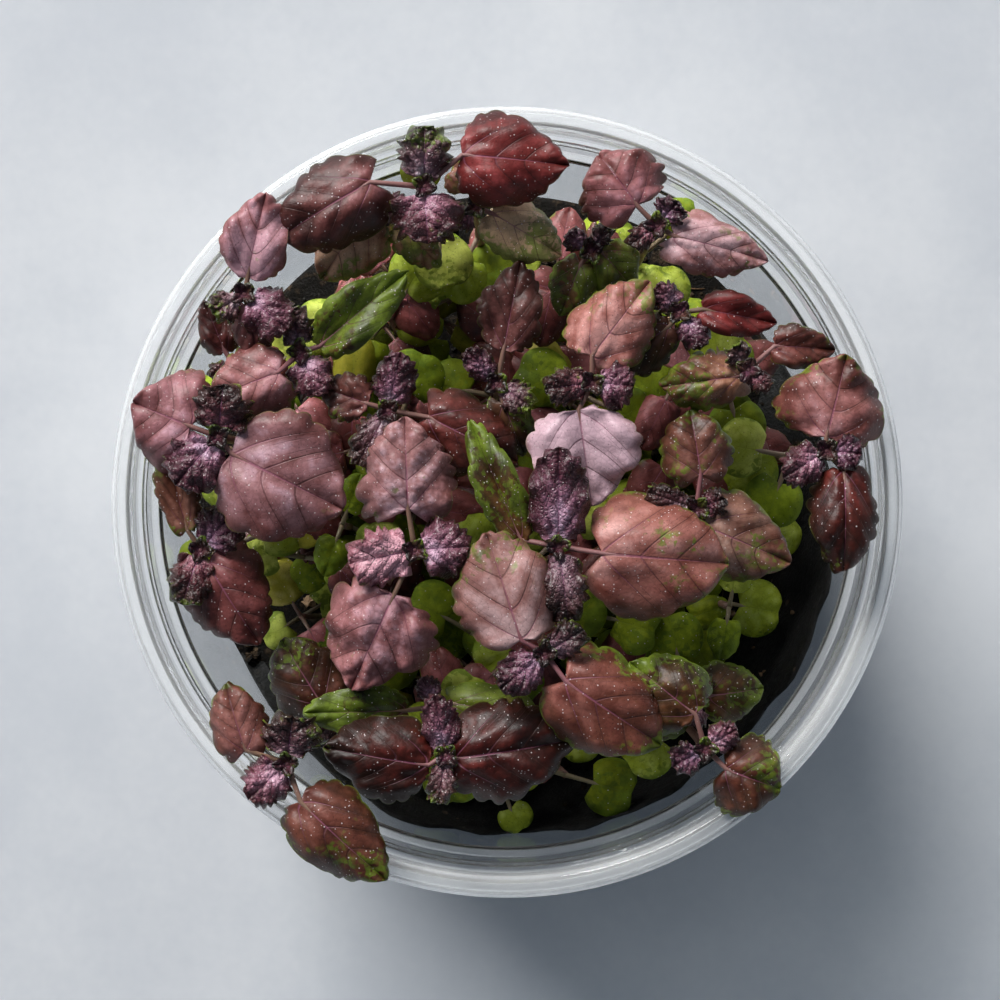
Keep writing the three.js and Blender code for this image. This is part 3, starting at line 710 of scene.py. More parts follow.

# %% [markdown]
# At the front a bank of dark soil rises from the soil's top up the clear wall and ends there in a
# ragged line, which darkens that band of wall. The bank is a second turned shape, a ring with a
# sloping inner face. Its height is taken away towards the back, and a Displace modifier breaks up
# its face and edge.

# %% Soil bank
BANK_LEVEL = 45
BANK_FOOT = SOIL_LEVEL - 1.6
BANK_TURN = math.radians(-58)
BANK_DEPTH = 7.5
BANK_LEAST = 0.03
WALL_DRAFT = 0.0945
MEAN_RADIUS = 50
bank_heights = np.linspace(BANK_FOOT, BANK_LEVEL, 14)
bank_profile = [(wall_radius(z) - 0.08, z) for z in bank_heights]
for z in bank_heights[::-1]:
    depth = BANK_DEPTH * ((BANK_LEVEL - z) / (BANK_LEVEL - BANK_FOOT)) ** 1.6
    bank_profile.append((wall_radius(z) - 0.3 - depth, z))
soil_bank = turn_profile("soil_bank", bank_profile + bank_profile[:1], [], 160)
for point in soil_bank.data.vertices:
    turn = math.atan2(point.co.y, point.co.x)
    ragged = 0.06 * math.sin(9 * turn) + 0.05 * math.sin(23 * turn + 1) + 0.03 * math.sin(41 * turn)
    share = min(1.0, max(BANK_LEAST, (math.cos(turn - BANK_TURN) + 0.1) / 0.75))
    share = max(BANK_LEAST, share**1.2 * (0.93 + ragged))
    lower = (1 - share) * (point.co.z - BANK_FOOT * MM)
    squeeze = 1 - lower / MM * WALL_DRAFT / MEAN_RADIUS
    point.co.x, point.co.y, point.co.z = point.co.x * squeeze, point.co.y * squeeze, point.co.z - lower


def inside_bank(x, y, z):
    return math.hypot(x, y) < (wall_radius(z / MM) - 0.25) * MM


raise_lumps(soil_bank, "bank_lumps", 2.4 * MM, 1.2 * MM, 0.4, inside_bank)
smooth(soil_bank)
print("soil bank:", len(soil_bank.data.polygons), "faces")

# %% [markdown]
# Crumbs. Each is a small icosphere, squashed and roughened. Three kinds are modelled, then copied
# with their own size and turn and dropped on the soil. There are hundreds of them, so each has few
# faces.

# %% Soil crumbs
draw = np.random.default_rng(11)
CRUMBS = 760
CRUMB_REACH = 48.6


def crumb_blank(seed, subdivisions):
    let_go()
    bpy.ops.mesh.primitive_ico_sphere_add(subdivisions=subdivisions, radius=1, location=(0, 0, 0))
    blank = bpy.context.object
    bpy.ops.object.mode_set(mode="EDIT")
    bpy.ops.mesh.select_all(action="SELECT")
    bpy.ops.transform.resize(value=(1.0, 0.8, 0.62))
    bpy.ops.transform.vertex_random(offset=0.26, uniform=0.8, normal=0.2, seed=seed)
    bpy.ops.object.mode_set(mode="OBJECT")
    return blank


def surface_of(piece):
    points = [p.co.copy() for p in piece.data.vertices]
    return bvhtree.BVHTree.FromPolygons(points, [tuple(f.vertices) for f in piece.data.polygons])


soil_surfaces = [surface_of(soil), surface_of(soil_bank)]


def drop_on_soil(x, y):
    """The height of the soil below a place."""
    hits = [surface.ray_cast(Vector((x, y, 0.1)), Vector((0, 0, -1)))[0] for surface in soil_surfaces]
    return max([hit.z for hit in hits if hit], default=SOIL_LEVEL * MM)


def turn_of(angles):
    """The 3 by 3 turn about X, Y and Z by three angles."""
    (sx, sy, sz), (cx, cy, cz) = np.sin(angles), np.cos(angles)
    about_x = np.array([[1, 0, 0], [0, cx, -sx], [0, sx, cx]])
    about_y = np.array([[cy, 0, sy], [0, 1, 0], [-sy, 0, cy]])
    about_z = np.array([[cz, -sz, 0], [sz, cz, 0], [0, 0, 1]])
    return about_z @ about_y @ about_x


def points_of(mesh):
    flat = np.empty(3 * len(mesh.vertices))
    mesh.vertices.foreach_get("co", flat)
    return flat.reshape(-1, 3)


def copy_shaped(blank, name, points, look=None):
    """A copy of the blank with its own mesh, its points moved, and look written to each point."""
    mesh = blank.data.copy()
    mesh.vertices.foreach_set("co", np.asarray(points, dtype=float).ravel())
    if look is not None:
        carried = mesh.attributes.new("look", "FLOAT_COLOR", "POINT")
        carried.data.foreach_set("color", np.asarray(look, dtype=float).ravel())
    piece = bpy.data.objects.new(name, mesh)
    bpy.context.collection.objects.link(piece)
    return piece


def join(name, pieces):
    take(*pieces)
    if len(pieces) > 1:
        bpy.ops.object.join()
    whole = bpy.context.object
    whole.name = whole.data.name = name
    return whole


def remove(*objects):
    for piece in objects:
        bpy.data.objects.remove(piece)


blanks = [crumb_blank(3, 2), crumb_blank(5, 1), crumb_blank(8, 1)]
crumbs = []
for n in range(CRUMBS):
    blank = blanks[0] if n % 5 == 0 else blanks[1 + n % 2]
    away, turn = CRUMB_REACH * math.sqrt(draw.random()), draw.random() * 2 * math.pi
    size = (0.38 + 0.8 * draw.random() ** 2.5) * (1.25 if blank is blanks[0] else 1)
    x, y = away * math.cos(turn) * MM, away * math.sin(turn) * MM
    centre = np.array([x, y, drop_on_soil(x, y) + 0.15 * size * MM])
    points = points_of(blank.data) @ turn_of(draw.random(3) * 6.28).T * size * MM + centre
    tone = draw.random()
    tone = tone if tone > 0.72 else 0.15 * tone
    look = np.tile([tone, draw.random(), 0.0, 1.0], (len(points), 1))
    crumbs.append(copy_shaped(blank, "crumb", points, look))
soil_crumbs = join("soil_crumbs", crumbs)
remove(*blanks)
print("crumbs:", len(soil_crumbs.data.polygons), "faces")

# %% [markdown]
# Stems, stalks and fibres are all rods. Three rods are modelled, with twelve, eight and three sides:
# a face, extruded ring by ring. Each copy is then laid along its own curve, with a radius for every
# ring.

# %% Rod


def rod_blank(name, sides, rings):
    """A closed rod of radius 1 that stands from height 0 to 1."""
    let_go()
    bpy.ops.mesh.primitive_circle_add(vertices=sides, radius=1, fill_type="NGON", location=(0, 0, 0))
    blank = bpy.context.object
    blank.name = name
    bpy.ops.object.mode_set(mode="EDIT")
    for _ in range(rings):
        bpy.ops.mesh.extrude_region_move(TRANSFORM_OT_translate={"value": (0, 0, 1 / rings)})
    bpy.ops.object.mode_set(mode="OBJECT")
    close_up(blank)
    bpy.ops.object.shade_smooth()
    return blank


def unit(v):
    return v / np.linalg.norm(v)


def rod_along(blank, name, line, radii, look):
    """A copy of the rod along a line of points in millimetres, one for each ring."""
    local = points_of(blank.data)
    rings = len(line) - 1
    ring = np.rint(local[:, 2] * rings).astype(int)
    run = np.gradient(line, axis=0)
    side = unit(np.cross(run[0], [0.3, 0.9, 0.1]))
    sides, fronts = [], []
    for step in run:
        step = unit(step)
        side = unit(side - step * side.dot(step))
        sides.append(side)
        fronts.append(np.cross(step, side))
    sides, fronts = np.array(sides)[ring], np.array(fronts)[ring]
    radius = np.asarray(radii)[ring][:, None]
    places = np.asarray(line)[ring] + radius * (sides * local[:, :1] + fronts * local[:, 1:2])
    return copy_shaped(blank, name, places * MM, np.asarray(look)[ring])


STEM_RINGS = 16
STALK_RINGS = 9
SLIM_RINGS = 3
stem_blank = rod_blank("stem_blank", 12, STEM_RINGS)
stalk_blank = rod_blank("stalk_blank", 8, STALK_RINGS)
slim_blank = rod_blank("slim_blank", 3, SLIM_RINGS)
print("rods:", [len(b.data.polygons) for b in (stem_blank, stalk_blank, slim_blank)], "faces")

# %% [markdown]
# Each fibre is a short rod, thin at both ends. It starts at a random place and wanders over the
# soil, always a little above it.

# %% Soil fibres
FIBRES = 60
FIBRE_REACH = 45
fibres = []
for n in range(FIBRES):
    away, turn = FIBRE_REACH * math.sqrt(draw.random()), draw.random() * 6.28
    heading = draw.random() * 6.28
    start = np.array([away * math.cos(turn), away * math.sin(turn), 0.0])
    length, curl = 2 + 4 * draw.random(), draw.random() - 0.5
    line = [start]
    for step in range(STALK_RINGS):
        heading += curl * 0.5
        line.append(line[-1] + np.array([math.cos(heading), math.sin(heading), 0]) * length / STALK_RINGS)
    for spot in line:
        spot[2] = drop_on_soil(spot[0] * MM, spot[1] * MM) / MM + 0.15
    radii = 0.13 * np.sin(np.linspace(0.4, 2.8, STALK_RINGS + 1))
    look = np.tile([0.5 + 0.5 * draw.random(), draw.random(), 0.0, 1.0], (STALK_RINGS + 1, 1))
    fibres.append(rod_along(stalk_blank, "fibre", np.array(line), radii, look))
soil_fibres = join("soil_fibres", fibres)
print("fibres:", len(soil_fibres.data.polygons), "faces")

# %% [markdown]
# Soil is nearly black when moist. Some crumbs are brown bark, and a very few are pale grit. The
# body has no look attribute, which reads as zero, so that it stays dark.

# %% Soil material


def make_soil(name, dark, brown, pale, gloss=0.12):
    material, tree, shader, _, place = open_material(name)
    tone = parts_of(add_node(tree, "ShaderNodeAttribute", attribute_name="look")["Color"])[0]
    lumps = noise_of(place, 420.0, 3.0, 0.65)
    grit = noise_of(place, 2400.0, 1.0, 0.7)
    crumbs = place_group(FINE_SPECKS, tree, {"Vector": place, "Scale": 520.0, "Size": 0.3, "Share": 0.07})
    body = mix(tone + lumps * 0.8 - 0.43, dark, brown)
    fill(shader, {
        "Base Color": mix(crumbs["Specks"] * 0.5, body, pale), "Roughness": ramp_to(lumps, 0.2, 0.8, 0.6, 0.98),
        "Normal": bump(grit * 0.6 + lumps, 0.8, 0.5 * MM), "Specular IOR Level": gloss,
    })
    return material


potting_soil = make_soil("potting_soil", (0.0035, 0.0026, 0.0018), (0.3, 0.19, 0.11), (0.3, 0.2, 0.12))
damp_soil = make_soil("damp_soil", (0.0055, 0.0053, 0.005), (0.06, 0.04, 0.028), (0.16, 0.11, 0.075), gloss=0.4)
fibre_skin = make_soil("peat_fibre", (0.03, 0.017, 0.01), (0.14, 0.08, 0.04), (0.25, 0.18, 0.1))
for piece, finish in (
    (soil, potting_soil), (soil_bank, damp_soil), (soil_crumbs, potting_soil), (soil_fibres, fibre_skin),
):
    dress(piece, finish)
    settle_piece(piece, "soil", "soil")
print("soil finishes:", potting_soil.name, damp_soil.name, fibre_skin.name)

# %% [markdown]
# The seedlings' plan. The table repeats the one that the CAD model was grown from. top is the
# growing tip. Each first leaf is its base x and y, tip x and y, width, how far the tip hangs, and
# sometimes how far its halves are folded up. Each young leaf is its tip x and y, width, and
# sometimes its tone. looks gives each first leaf's tone, redness, green and crinkle, from 0 to 1.

# %% Plan of the seedlings
SEEDLINGS = [
    dict(top=(-12, 46, 67), first=[(-20, 46.5, -33.5, 38.5, 13, 3), (-6.5, 50.5, 9, 49, 12.5, 1)],
         young=[(-12, 54.5, 8, 0.5), (-11.5, 37.5, 10.5, 0.56)],
         looks=[(0.35, 0.35, 0.1, 0.5), (0.44, 1.0, 0.05, 0.5)]),
    dict(top=(-38.5, 30.5, 64), first=[(-38, 33, -35, 45, 9, 1), (-38, 28.5, -36.5, 20.5, 6, 4)],
         young=[(-32, 25, 7.5), (-43, 27.5, 5)], looks=[(0.9, 0.35, 0.1, 0.5), (0.5, 0.3, 0.1, 0.6)]),
    dict(top=(-30.5, 22, 62), first=[(-33.5, 19, -43.5, 15, 11, 3), (-27.5, 23, -14.5, 34, 7.5, 0, 0.5)],
         young=[(-31.5, 28.5, 5.5), (-27.5, 15.5, 6.5)], looks=[(0.65, 0.4, 0.2, 0.4), (0.25, 0.3, 0.8, 0.5)]),
    dict(top=(-17.5, 13.5, 62), first=[(-20.5, 14.5, -27.5, 17, 7, 2), (-11.5, 12.5, 1.5, 6, 12, 2)],
         young=[(-15.5, 22, 6), (-22, 5.5, 6)], looks=[(0.45, 0.3, 0.25, 0.6), (0.28, 0.7, 0.15, 0.6)]),
    # The first young leaf's tone of 1.0 is set high to make up for the shade it lies in: painted light.
    dict(top=(-13.5, -7, 65), first=[(-14.5, -1, -15, 12.5, 14, 2), (-16.5, -13.5, -23, -27.5, 15, 4)],
         young=[(-23, -9, 9, 1.0), (-5.5, -6.5, 8.5, 0.68)], looks=[(0.8, 0.2, 0.2, 1.0), (0.8, 0.35, 0.15, 1.0)]),
    dict(top=(7.5, -6.5, 66), first=[(2, -5.5, -5.5, 12, 6.5, 1, 0.8), (14, -7.5, 32.5, -9, 18, 3)],
         young=[(7.5, 8, 8.5), (9, -17.5, 7)], looks=[(0.25, 0.3, 0.75, 0.4), (0.7, 0.45, 0.35, 0.1)]),
    dict(top=(12.5, 17.5, 63), first=[(12.5, 21.5, 21, 32.5, 11.5, 1), (10.5, 13.5, 12.5, -0.5, 15, 3)],
         young=[(5.5, 16.5, 6), (18.5, 17, 7)], looks=[(0.82, 0.5, 0.35, 0.45), (1.15, 0.15, 0.15, 0.7)]),
    dict(top=(5.5, -22, 68), first=[(2, -20, -3, -4.5, 15, 1), (8.5, -26, 22.5, -35.5, 14.5, 3)],
         young=[(-1, -27, 6), (11, -18.5, 5.5)], looks=[(0.78, 0.2, 0.3, 0.3), (0.46, 0.5, 0.35, 0.25)]),
    dict(top=(-42, 9.5, 68), first=[(-46, 11, -54.5, 14.5, 15, 2), (-40, 7, -24, -1, 18.5, 2)],
         young=[(-41, 17, 9), (-48, 2.5, 9)], looks=[(0.7, 0.3, 0.05, 0.3), (0.68, 0.2, 0.1, 0.12)]),
    dict(top=(-45, -7, 63), first=[(-47, -4, -50.5, 9, 6, 1, 0.6), (-44, -9, -36.5, -21, 12.5, 2)],
         young=[(-40, -1.5, 7), (-47.5, -15, 7)], looks=[(0.45, 0.3, 0.4, 0.5), (0.43, 0.5, 0.1, 0.5)]),
    dict(top=(-40.5, 20, 57), first=[(-42, 22.5, -45, 30, 5, -1), (-39, 17, -36.5, 11, 6, 3)],
         young=[(-44, 18.5, 4), (-37, 21.5, 4)], looks=[(0.3, 0.5, 0.1, 0.5), (0.3, 0.4, 0.2, 0.6)]),
    dict(top=(22, 40.5, 64), first=[(19, 43.5, 13.5, 51, 13.5, 2), (24.5, 39, 38.5, 35.5, 8.5, 3)],
         young=[(25, 44, 5), (18, 37.5, 4)], looks=[(0.66, 0.4, 0.1, 0.6), (0.9, 0.25, 0.25, 0.8)]),
    dict(top=(25.5, 28, 60), first=[(29, 28.5, 40, 26.5, 6, 2, 0.5), (24, 26, 14.5, 19.5, 8.5, 3)],
         young=[(22, 32, 4.5), (29, 23, 4.5)], looks=[(0.45, 1.0, 0.05, 0.3), (0.2, 0.3, 0.35, 0.5)]),
    dict(top=(35.5, 19.5, 62), first=[(34, 18.5, 23, 17, 9, 2), (39.5, 23, 48.5, 22.5, 6, 1, 0.4)],
         young=[(33, 23, 4), (38.5, 16.5, 3.5)], looks=[(0.6, 0.3, 0.55, 0.8), (0.4, 0.5, 0.25, 0.5)]),
    dict(top=(46.5, 7.5, 67), first=[(46.5, 9.5, 49.5, 21.5, 14.5, 1), (49, 4.5, 49, -10, 10, 0)],
         young=[(40, 3.5, 6), (51.5, 7, 5)], seed=(250, 170), looks=[(0.6, 0.4, 0.25, 0.5), (0.2, 1.0, 0.15, 0.6)]),
    dict(top=(28, -1, 62), first=[(28.5, 4, 27, 13.5, 11, 2), (29, -3.5, 42, -9, 12, 3)],
         young=[(20.5, 1.5, 4), (32, 0.5, 4.5)], looks=[(0.45, 0.3, 0.35, 0.5), (0.6, 0.15, 0.4, 0.4)]),
    dict(top=(29, -36, 65), first=[(27.5, -31, 18, -23.5, 10.5, 2), (32, -39, 40, -42, 12.5, 1)],
         young=[(33.5, -33, 4.5), (24, -38.5, 5)], seed=(215, 60),
         looks=[(0.2, 0.5, 0.55, 0.6), (0.26, 0.6, 0.4, 0.35)]),
    dict(top=(-32, -38, 68), first=[(-38, -36, -41, -26.5, 8.5, 2), (-30, -43.5, -17.5, -55, 11, 1)],
         young=[(-31, -31, 9), (-37.5, -43, 7)], looks=[(0.52, 0.4, 0.3, 0.4), (0.38, 0.5, 0.35, 0.35)]),
    dict(top=(-9, -37, 65), first=[(-11.5, -38.5, -27, -36, 11.5, 2), (-7.5, -37.5, 9, -35, 15.5, 2)],
         young=[(-10.5, -28, 5.5), (-10, -44, 4.5)], looks=[(0.1, 1.0, 0.1, 0.7), (0.15, 1.0, 0.1, 0.7)]),
    dict(top=(-25, -31.5, 58), first=[(-27.5, -30, -33.5, -20.5, 12, 2), (-22.5, -33, -16, -37, 6.5, 3)],
         young=[(-28, -35, 4), (-21.5, -28, 4)], looks=[(0.18, 0.4, 0.3, 0.5), (0.2, 0.3, 0.4, 0.5)]),
    dict(top=(-10.5, -30.5, 57), first=[(-15, -31, -30, -31, 7, 1), (-8, -30, 5, -31.5, 7, 1)],
         young=[(-12.5, -26, 3.5), (-9, -35, 3.5)], looks=[(0.2, 0.2, 0.85, 0.4), (0.4, 0.1, 1.0, 0.3)]),
    # The first leaf's tone of 1.2 is set high to make up for the shade of the leaves above it: painted light.
    dict(top=(-4.5, 43.5, 61), first=[(-2, 42.5, 8, 36.5, 9, 2), (-5.5, 46, -6.5, 51, 6, 1)],
         young=[(-0.5, 46.5, 3.5), (-7.5, 41, 4)], looks=[(1.2, 0.2, 0.65, 0.4), (0.6, 0.3, 0.4, 0.5)]),
    dict(top=(-1.5, 17.5, 60), first=[(-0.5, 22.5, 2, 35.5, 9, 1), (-0.5, 14.5, 2.5, 7, 7, 4)],
         young=[(-6, 22.5, 4), (3.5, 14, 5.5)], looks=[(0.35, 0.3, 0.15, 0.6), (0.25, 0.2, 0.5, 0.5)]),
    dict(top=(28.5, -29.5, 54), first=[(30.5, -29, 38.5, -28, 9, 2), (27, -30.5, 19.5, -35.5, 7.5, 3)],
         young=[(29.5, -26, 3.5), (28, -33.5, 3.5)], looks=[(0.2, 0.4, 0.6, 0.3), (0.3, 0.2, 0.85, 0.3)]),
    dict(top=(12.5, 37.5, 55), first=[(14, 37.5, 19, 32, 8.5, 2), (11, 35.5, 8, 28, 7, 2)],
         young=[(9, 40, 3.5), (15, 41, 3.5)], looks=[(0.55, 0.1, 1.0, 0.3), (0.45, 0.2, 0.85, 0.4)]),
    # The first leaf's tone is set high to make up for the shade of the leaves above it: painted light.
    dict(top=(-18, 42.5, 61), first=[(-21, 42, -27.5, 33, 10.5, 2), (-16, 41, -10, 35, 6, 3)],
         young=[(-20.5, 46, 3.5), (-15, 44.5, 3.5)], looks=[(0.9, 0.3, 0.6, 0.3), (0.8, 0.2, 0.85, 0.4)]),
]
CLUMPS = [
    dict(root=(28, -14), plants=[(34, -16, 47, 80, 2), (26.5, -18.5, 43, 20, 2), (35.5, -8, 40, 30, 1)]),
    dict(root=(4, -38), plants=[(9, -42, 44, -15, 1), (-1, -43, 41, -80, 1), (14, -30, 42, 60, 1)]),
    dict(root=(-16, 24.5), plants=[(-18, 28.5, 46, 50, 1), (-8, 32, 44, 30, 1)]),
    dict(root=(31, 10), plants=[(36, 11.5, 46, 120, 1), (28, 19, 44, 20, 1)]),
    dict(root=(-23, -4.5), plants=[(-25, -3.5, 50, 70, 2), (-31, -8.5, 44, 170, 1)]),
    dict(root=(5, -13), plants=[(12.5, -17, 46, 165, 1), (-5.5, -20, 45, 150, 1)]),
]
print(len(SEEDLINGS), "taller seedlings and", sum(len(c["plants"]) for c in CLUMPS), "small ones")

# %% [markdown]
# How a leaf lies. Its blade runs from base to tip, arches along its length, folds along its midrib
# and waves at its edge, by shares that differ from leaf to leaf. Where leaves crowd each other, the
# CAD model swung, raised or shrank some of them. The fine leaf has to take the same bend, so the
# bends are tried in the same order until the corners of the blade lie on corners of the CAD node.

# %% Rules for how a leaf lies
UP = np.array([0.0, 0.0, 1.0])
HALF_PLATE = 0.33
NEAR = 0.04
SHRINKS = (1, 0.9, 0.8, 0.7, 0.6)
SWINGS = (0, 7, -7, 14, -14, 21, -21, 30, -30)
LIFTS = (0, 1.2, -1.2, 2.4, -2.4)
TILTS = (0, 1.5, -1.5, 3, -3, 4.5, -4.5, 6, -6)
OPTIONS = list(itertools.product(SHRINKS, SWINGS, LIFTS, TILTS))
OPTIONS.sort(key=lambda o: (1 - o[0]) * 14 + abs(o[1]) / 9 + abs(o[2]) / 1.5 + abs(o[3]) / 3)


def vary(n, use):
    """A share from 0 to 1 that differs from leaf to leaf and from use to use."""
    return (n * 0.6180339887 + use * 0.7548776662) % 1


def form_of(n, limp=1.0):
    return dict(
        arch=0.05 + 0.09 * vary(n, 1),
        fold=(-0.38 + 0.46 * vary(n, 2)) * limp,
        wave=(0.15 + 0.55 * vary(n, 3)) * limp,
        phase=2 * math.pi * vary(n, 4),
    )


def on_blade(leaf, s, t, soften=0.0):
    """Places of the blade's middle surface, along, across and above it, in millimetres."""
    y = t * leaf["width"] / 2
    ridge = soften * leaf["width"]
    fold = leaf["fold"] * (np.sqrt(y**2 + ridge**2) - ridge)
    arch = leaf["arch"] * leaf["length"] * 4 * s * (1 - s)
    turn = 3 * math.pi * s + leaf["phase"] + np.where(t < 0, 1.5, 0.0)
    return np.stack([s * leaf["length"], y, arch + fold + leaf["wave"] * abs(t) * np.sin(turn)], axis=-1)


def leaf_axes(leaf):
    along = unit(leaf["tip"] - leaf["base"])
    across = unit(np.cross(UP, along))
    return np.stack([along, across, np.cross(along, across)])


def swung(v, degrees):
    """The same reach, turned about the upright axis."""
    turn = math.radians(degrees)
    c, s = math.cos(turn), math.sin(turn)
    return np.array([v[0] * c - v[1] * s, v[0] * s + v[1] * c, v[2]])


def bent(leaf, option):
    """The leaf shrunk, swung and raised at its base, and tilted at its tip."""
    shrink, swing, lift, bend = option
    reach = swung(leaf["base"] - leaf["from"], swing / 2) + UP * lift
    run = swung((leaf["tip"] - leaf["base"]) * shrink, swing) + UP * bend
    base = leaf["from"] + reach
    sizes = dict(length=float(np.linalg.norm(run)), width=leaf["width"] * shrink)
    return {**leaf, **sizes, "base": base, "tip": base + run}


def corners_of(node):
    """A search tree of a CAD node's corners, in millimetres, and the corners themselves."""
    corners = np.unique(np.round(points_of(frame["nodes"][node].data) / MM, 4), axis=0)
    tree = kdtree.KDTree(len(corners))
    for i, corner in enumerate(corners):
        tree.insert(corner, i)
    tree.balance()
    return tree, corners


def find_bend(leaf, tree):
    """The leaf with the bend that the CAD node has, or None where that node leaves the leaf out."""
    for option in OPTIONS:
        tried = bent(leaf, option)
        axes = leaf_axes(tried)
        if tree.find(tried["tip"] + axes[2] * HALF_PLATE)[2] > NEAR:
            continue
        spots = np.array([(s, side * w) for s, w in leaf["kind"]["corners"] for side in (1, -1)])
        places = tried["base"] + on_blade(tried, spots[:, 0], spots[:, 1]) @ axes + axes[2] * HALF_PLATE
        near = [tree.find(place)[2] < NEAR for place in places]
        if sum(near) >= 0.5 * len(near):
            return tried
    return None


# %% [markdown]
# Kinds of blade. The outline of each is a curve that rises steeply at the base and runs out at the
# tip. First leaves have shallow round teeth, young leaves have deep ragged ones and a puckered
# surface, and seed leaves are kidney shaped, smooth and slightly notched at the tip. The numbers
# are shares of the length and the half width, or millimetres for what stands up from the blade:
# quilt between the side veins, blister between the finest veins, which are cell apart, and frill at
# the edge. vault raises the two halves beside the midrib, dome lowers the sides, and hem turns the
# edge down. corners are those of the CAD plate.

# %% Kinds of blade
FIRST = dict(
    name="first", corners=[(-0.03, 0.48), (0.17, 0.92), (0.42, 1), (0.54, 0.86), (0.73, 0.75), (0.88, 0.4)],
    rise=0.42, fall=0.74, lobe=0.08, notch=0.0, teeth=7, tooth=0.14, cut=4, veins=FIRST_VEINS,
    quilt=0.4, blister=0.3, cell=1.35, frill=1.0, droop=0.2, roll=(0.085, 1.1), vault=0.05, hem=0.06, dome=0.07,
)
YOUNG = dict(
    name="young", corners=[(0.04, 0.66), (0.26, 1), (0.42, 0.74), (0.66, 0.78)],
    rise=0.24, fall=0.36, lobe=0.1, notch=0.0, teeth=7.5, tooth=0.24, cut=3, veins=YOUNG_VEINS,
    quilt=0.3, blister=0.26, cell=0.72, frill=1.2, droop=0.15, roll=(0.07, 1.5), vault=0.05, hem=0.05, dome=0.05,
)
SMALL = dict(
    name="small", corners=[(0.02, 0.55), (0.3, 1), (0.6, 0.84), (0.84, 0.46)],
    rise=0.36, fall=0.6, lobe=0.03, notch=0.0, teeth=5, tooth=0.1, cut=5, veins=GREEN_VEINS,
    quilt=0.22, blister=0.12, cell=1.2, frill=0.3, droop=0.14, roll=(0.06, 1.0), vault=0.05, hem=0.04, dome=0.06,
)
SEED = dict(
    name="seed", corners=[(-0.13, 0.5), (0.2, 1), (0.7, 0.86)],
    rise=0.3, fall=0.38, lobe=0.17, notch=0.08, teeth=1, tooth=0.0, cut=5, veins=SEED_VEINS,
    quilt=0.1, blister=0.0, cell=2.0, frill=0.12, droop=0.1, roll=(0.06, 0.8), vault=0.03, hem=0.04, dome=0.06,
)
SMALL_BLADE = dict(kind=SMALL, reach=2.2, length=6, width=5, drop=0.5)
SEED_BLADE = dict(kind=SEED, reach=4.5, length=6.5, width=8.6, drop=1)


def blade_blank(name, along, across):
    """A flat grid from x 0 to 1 and y -1 to 1. Its two ends are drawn together to points."""
    let_go()
    bpy.ops.mesh.primitive_grid_add(x_subdivisions=along, y_subdivisions=across, size=1, location=(0.5, 0, 0))
    blank = bpy.context.object
    blank.name = name
    bpy.ops.object.transform_apply(location=True)
    bpy.ops.object.mode_set(mode="EDIT")
    bpy.ops.mesh.select_all(action="SELECT")
    bpy.ops.transform.resize(value=(1, 2, 1), center_override=(0, 0, 0))
    bpy.ops.object.mode_set(mode="OBJECT")
    for end in (0.0, 1.0):
        pick_points(blank, lambda x, y, z, end=end: abs(x - end) < 1e-4)
        bpy.ops.mesh.merge(type="CENTER")
        bpy.ops.object.mode_set(mode="OBJECT")
    return blank


blade_blanks = {
    name: blade_blank(name + "_blank", along, across)
    for name, along, across in (
        ("first", 44, 28), ("young", 48, 24), ("small", 18, 12), ("seed", 16, 14), ("shaded", 10, 8)
    )
}
print({name: len(b.data.polygons) for name, b in blade_blanks.items()}, "faces in the blanks")

# %% [markdown]
# What stands up from a blade. Smooth uneven waves roll through every leaf. Between the side veins
# the blade is quilted, and between the finest veins it is blistered: small domes with sharp valleys
# between them. A dome's height comes from how much nearer a place is to its own dome's middle than
# to the next one, which makes cells of uneven shape, like those of a real leaf.

# %% Waves and blisters


def ripples(x, y, n):
    """A smooth uneven surface from -1 to 1, different for each n."""
    a, b, c = 6.28 * vary(n, 7), 6.28 * vary(n, 8), 6.28 * vary(n, 9)
    return (np.sin(x * 1.7 + y * 0.6 + a) + np.sin(y * 1.9 - x * 0.8 + b) + np.sin((x + y) * 1.2 + c)) / 3


def blisters(x, y, cell, n):
    """Domes from 0 to 1 between narrow valleys, cell millimetres apart."""
    scatter = np.random.default_rng(n)
    columns = np.arange(x.min() - cell, x.max() + 2 * cell, cell)
    rows = np.arange(y.min() - cell, y.max() + 2 * cell, cell)
    middles = np.stack(np.meshgrid(columns, rows), axis=-1).reshape(-1, 2)
    middles += (scatter.random(middles.shape) - 0.5) * cell * 0.85
    far = np.linalg.norm(np.stack([x, y], axis=-1)[:, None] - middles[None], axis=2)
    nearest = np.partition(far, 1, axis=1)[:, :2]
    return np.clip((nearest[:, 1] - nearest[:, 0]) / (0.65 * cell), 0, 1) ** 0.65


# %% [markdown]
# One blade. The grid's points are gathered towards base and tip, where the outline turns fastest,
# then moved to the outline and the teeth, laid on the leaf's arch, fold and wave, and raised
# between the veins. The chart of the blade (its UV map) is written at the same time, so that the
# veins of the material fall in the valleys of the mesh.

# %% Blade
FULLER = 1.05
MIDDLE = 0.42


def outline_of(kind, s):
    rise, fall = kind["rise"], kind["fall"]
    peak = rise / (rise + fall)
    return s**rise * (1 - s) ** fall / (peak**rise * (1 - peak) ** fall)


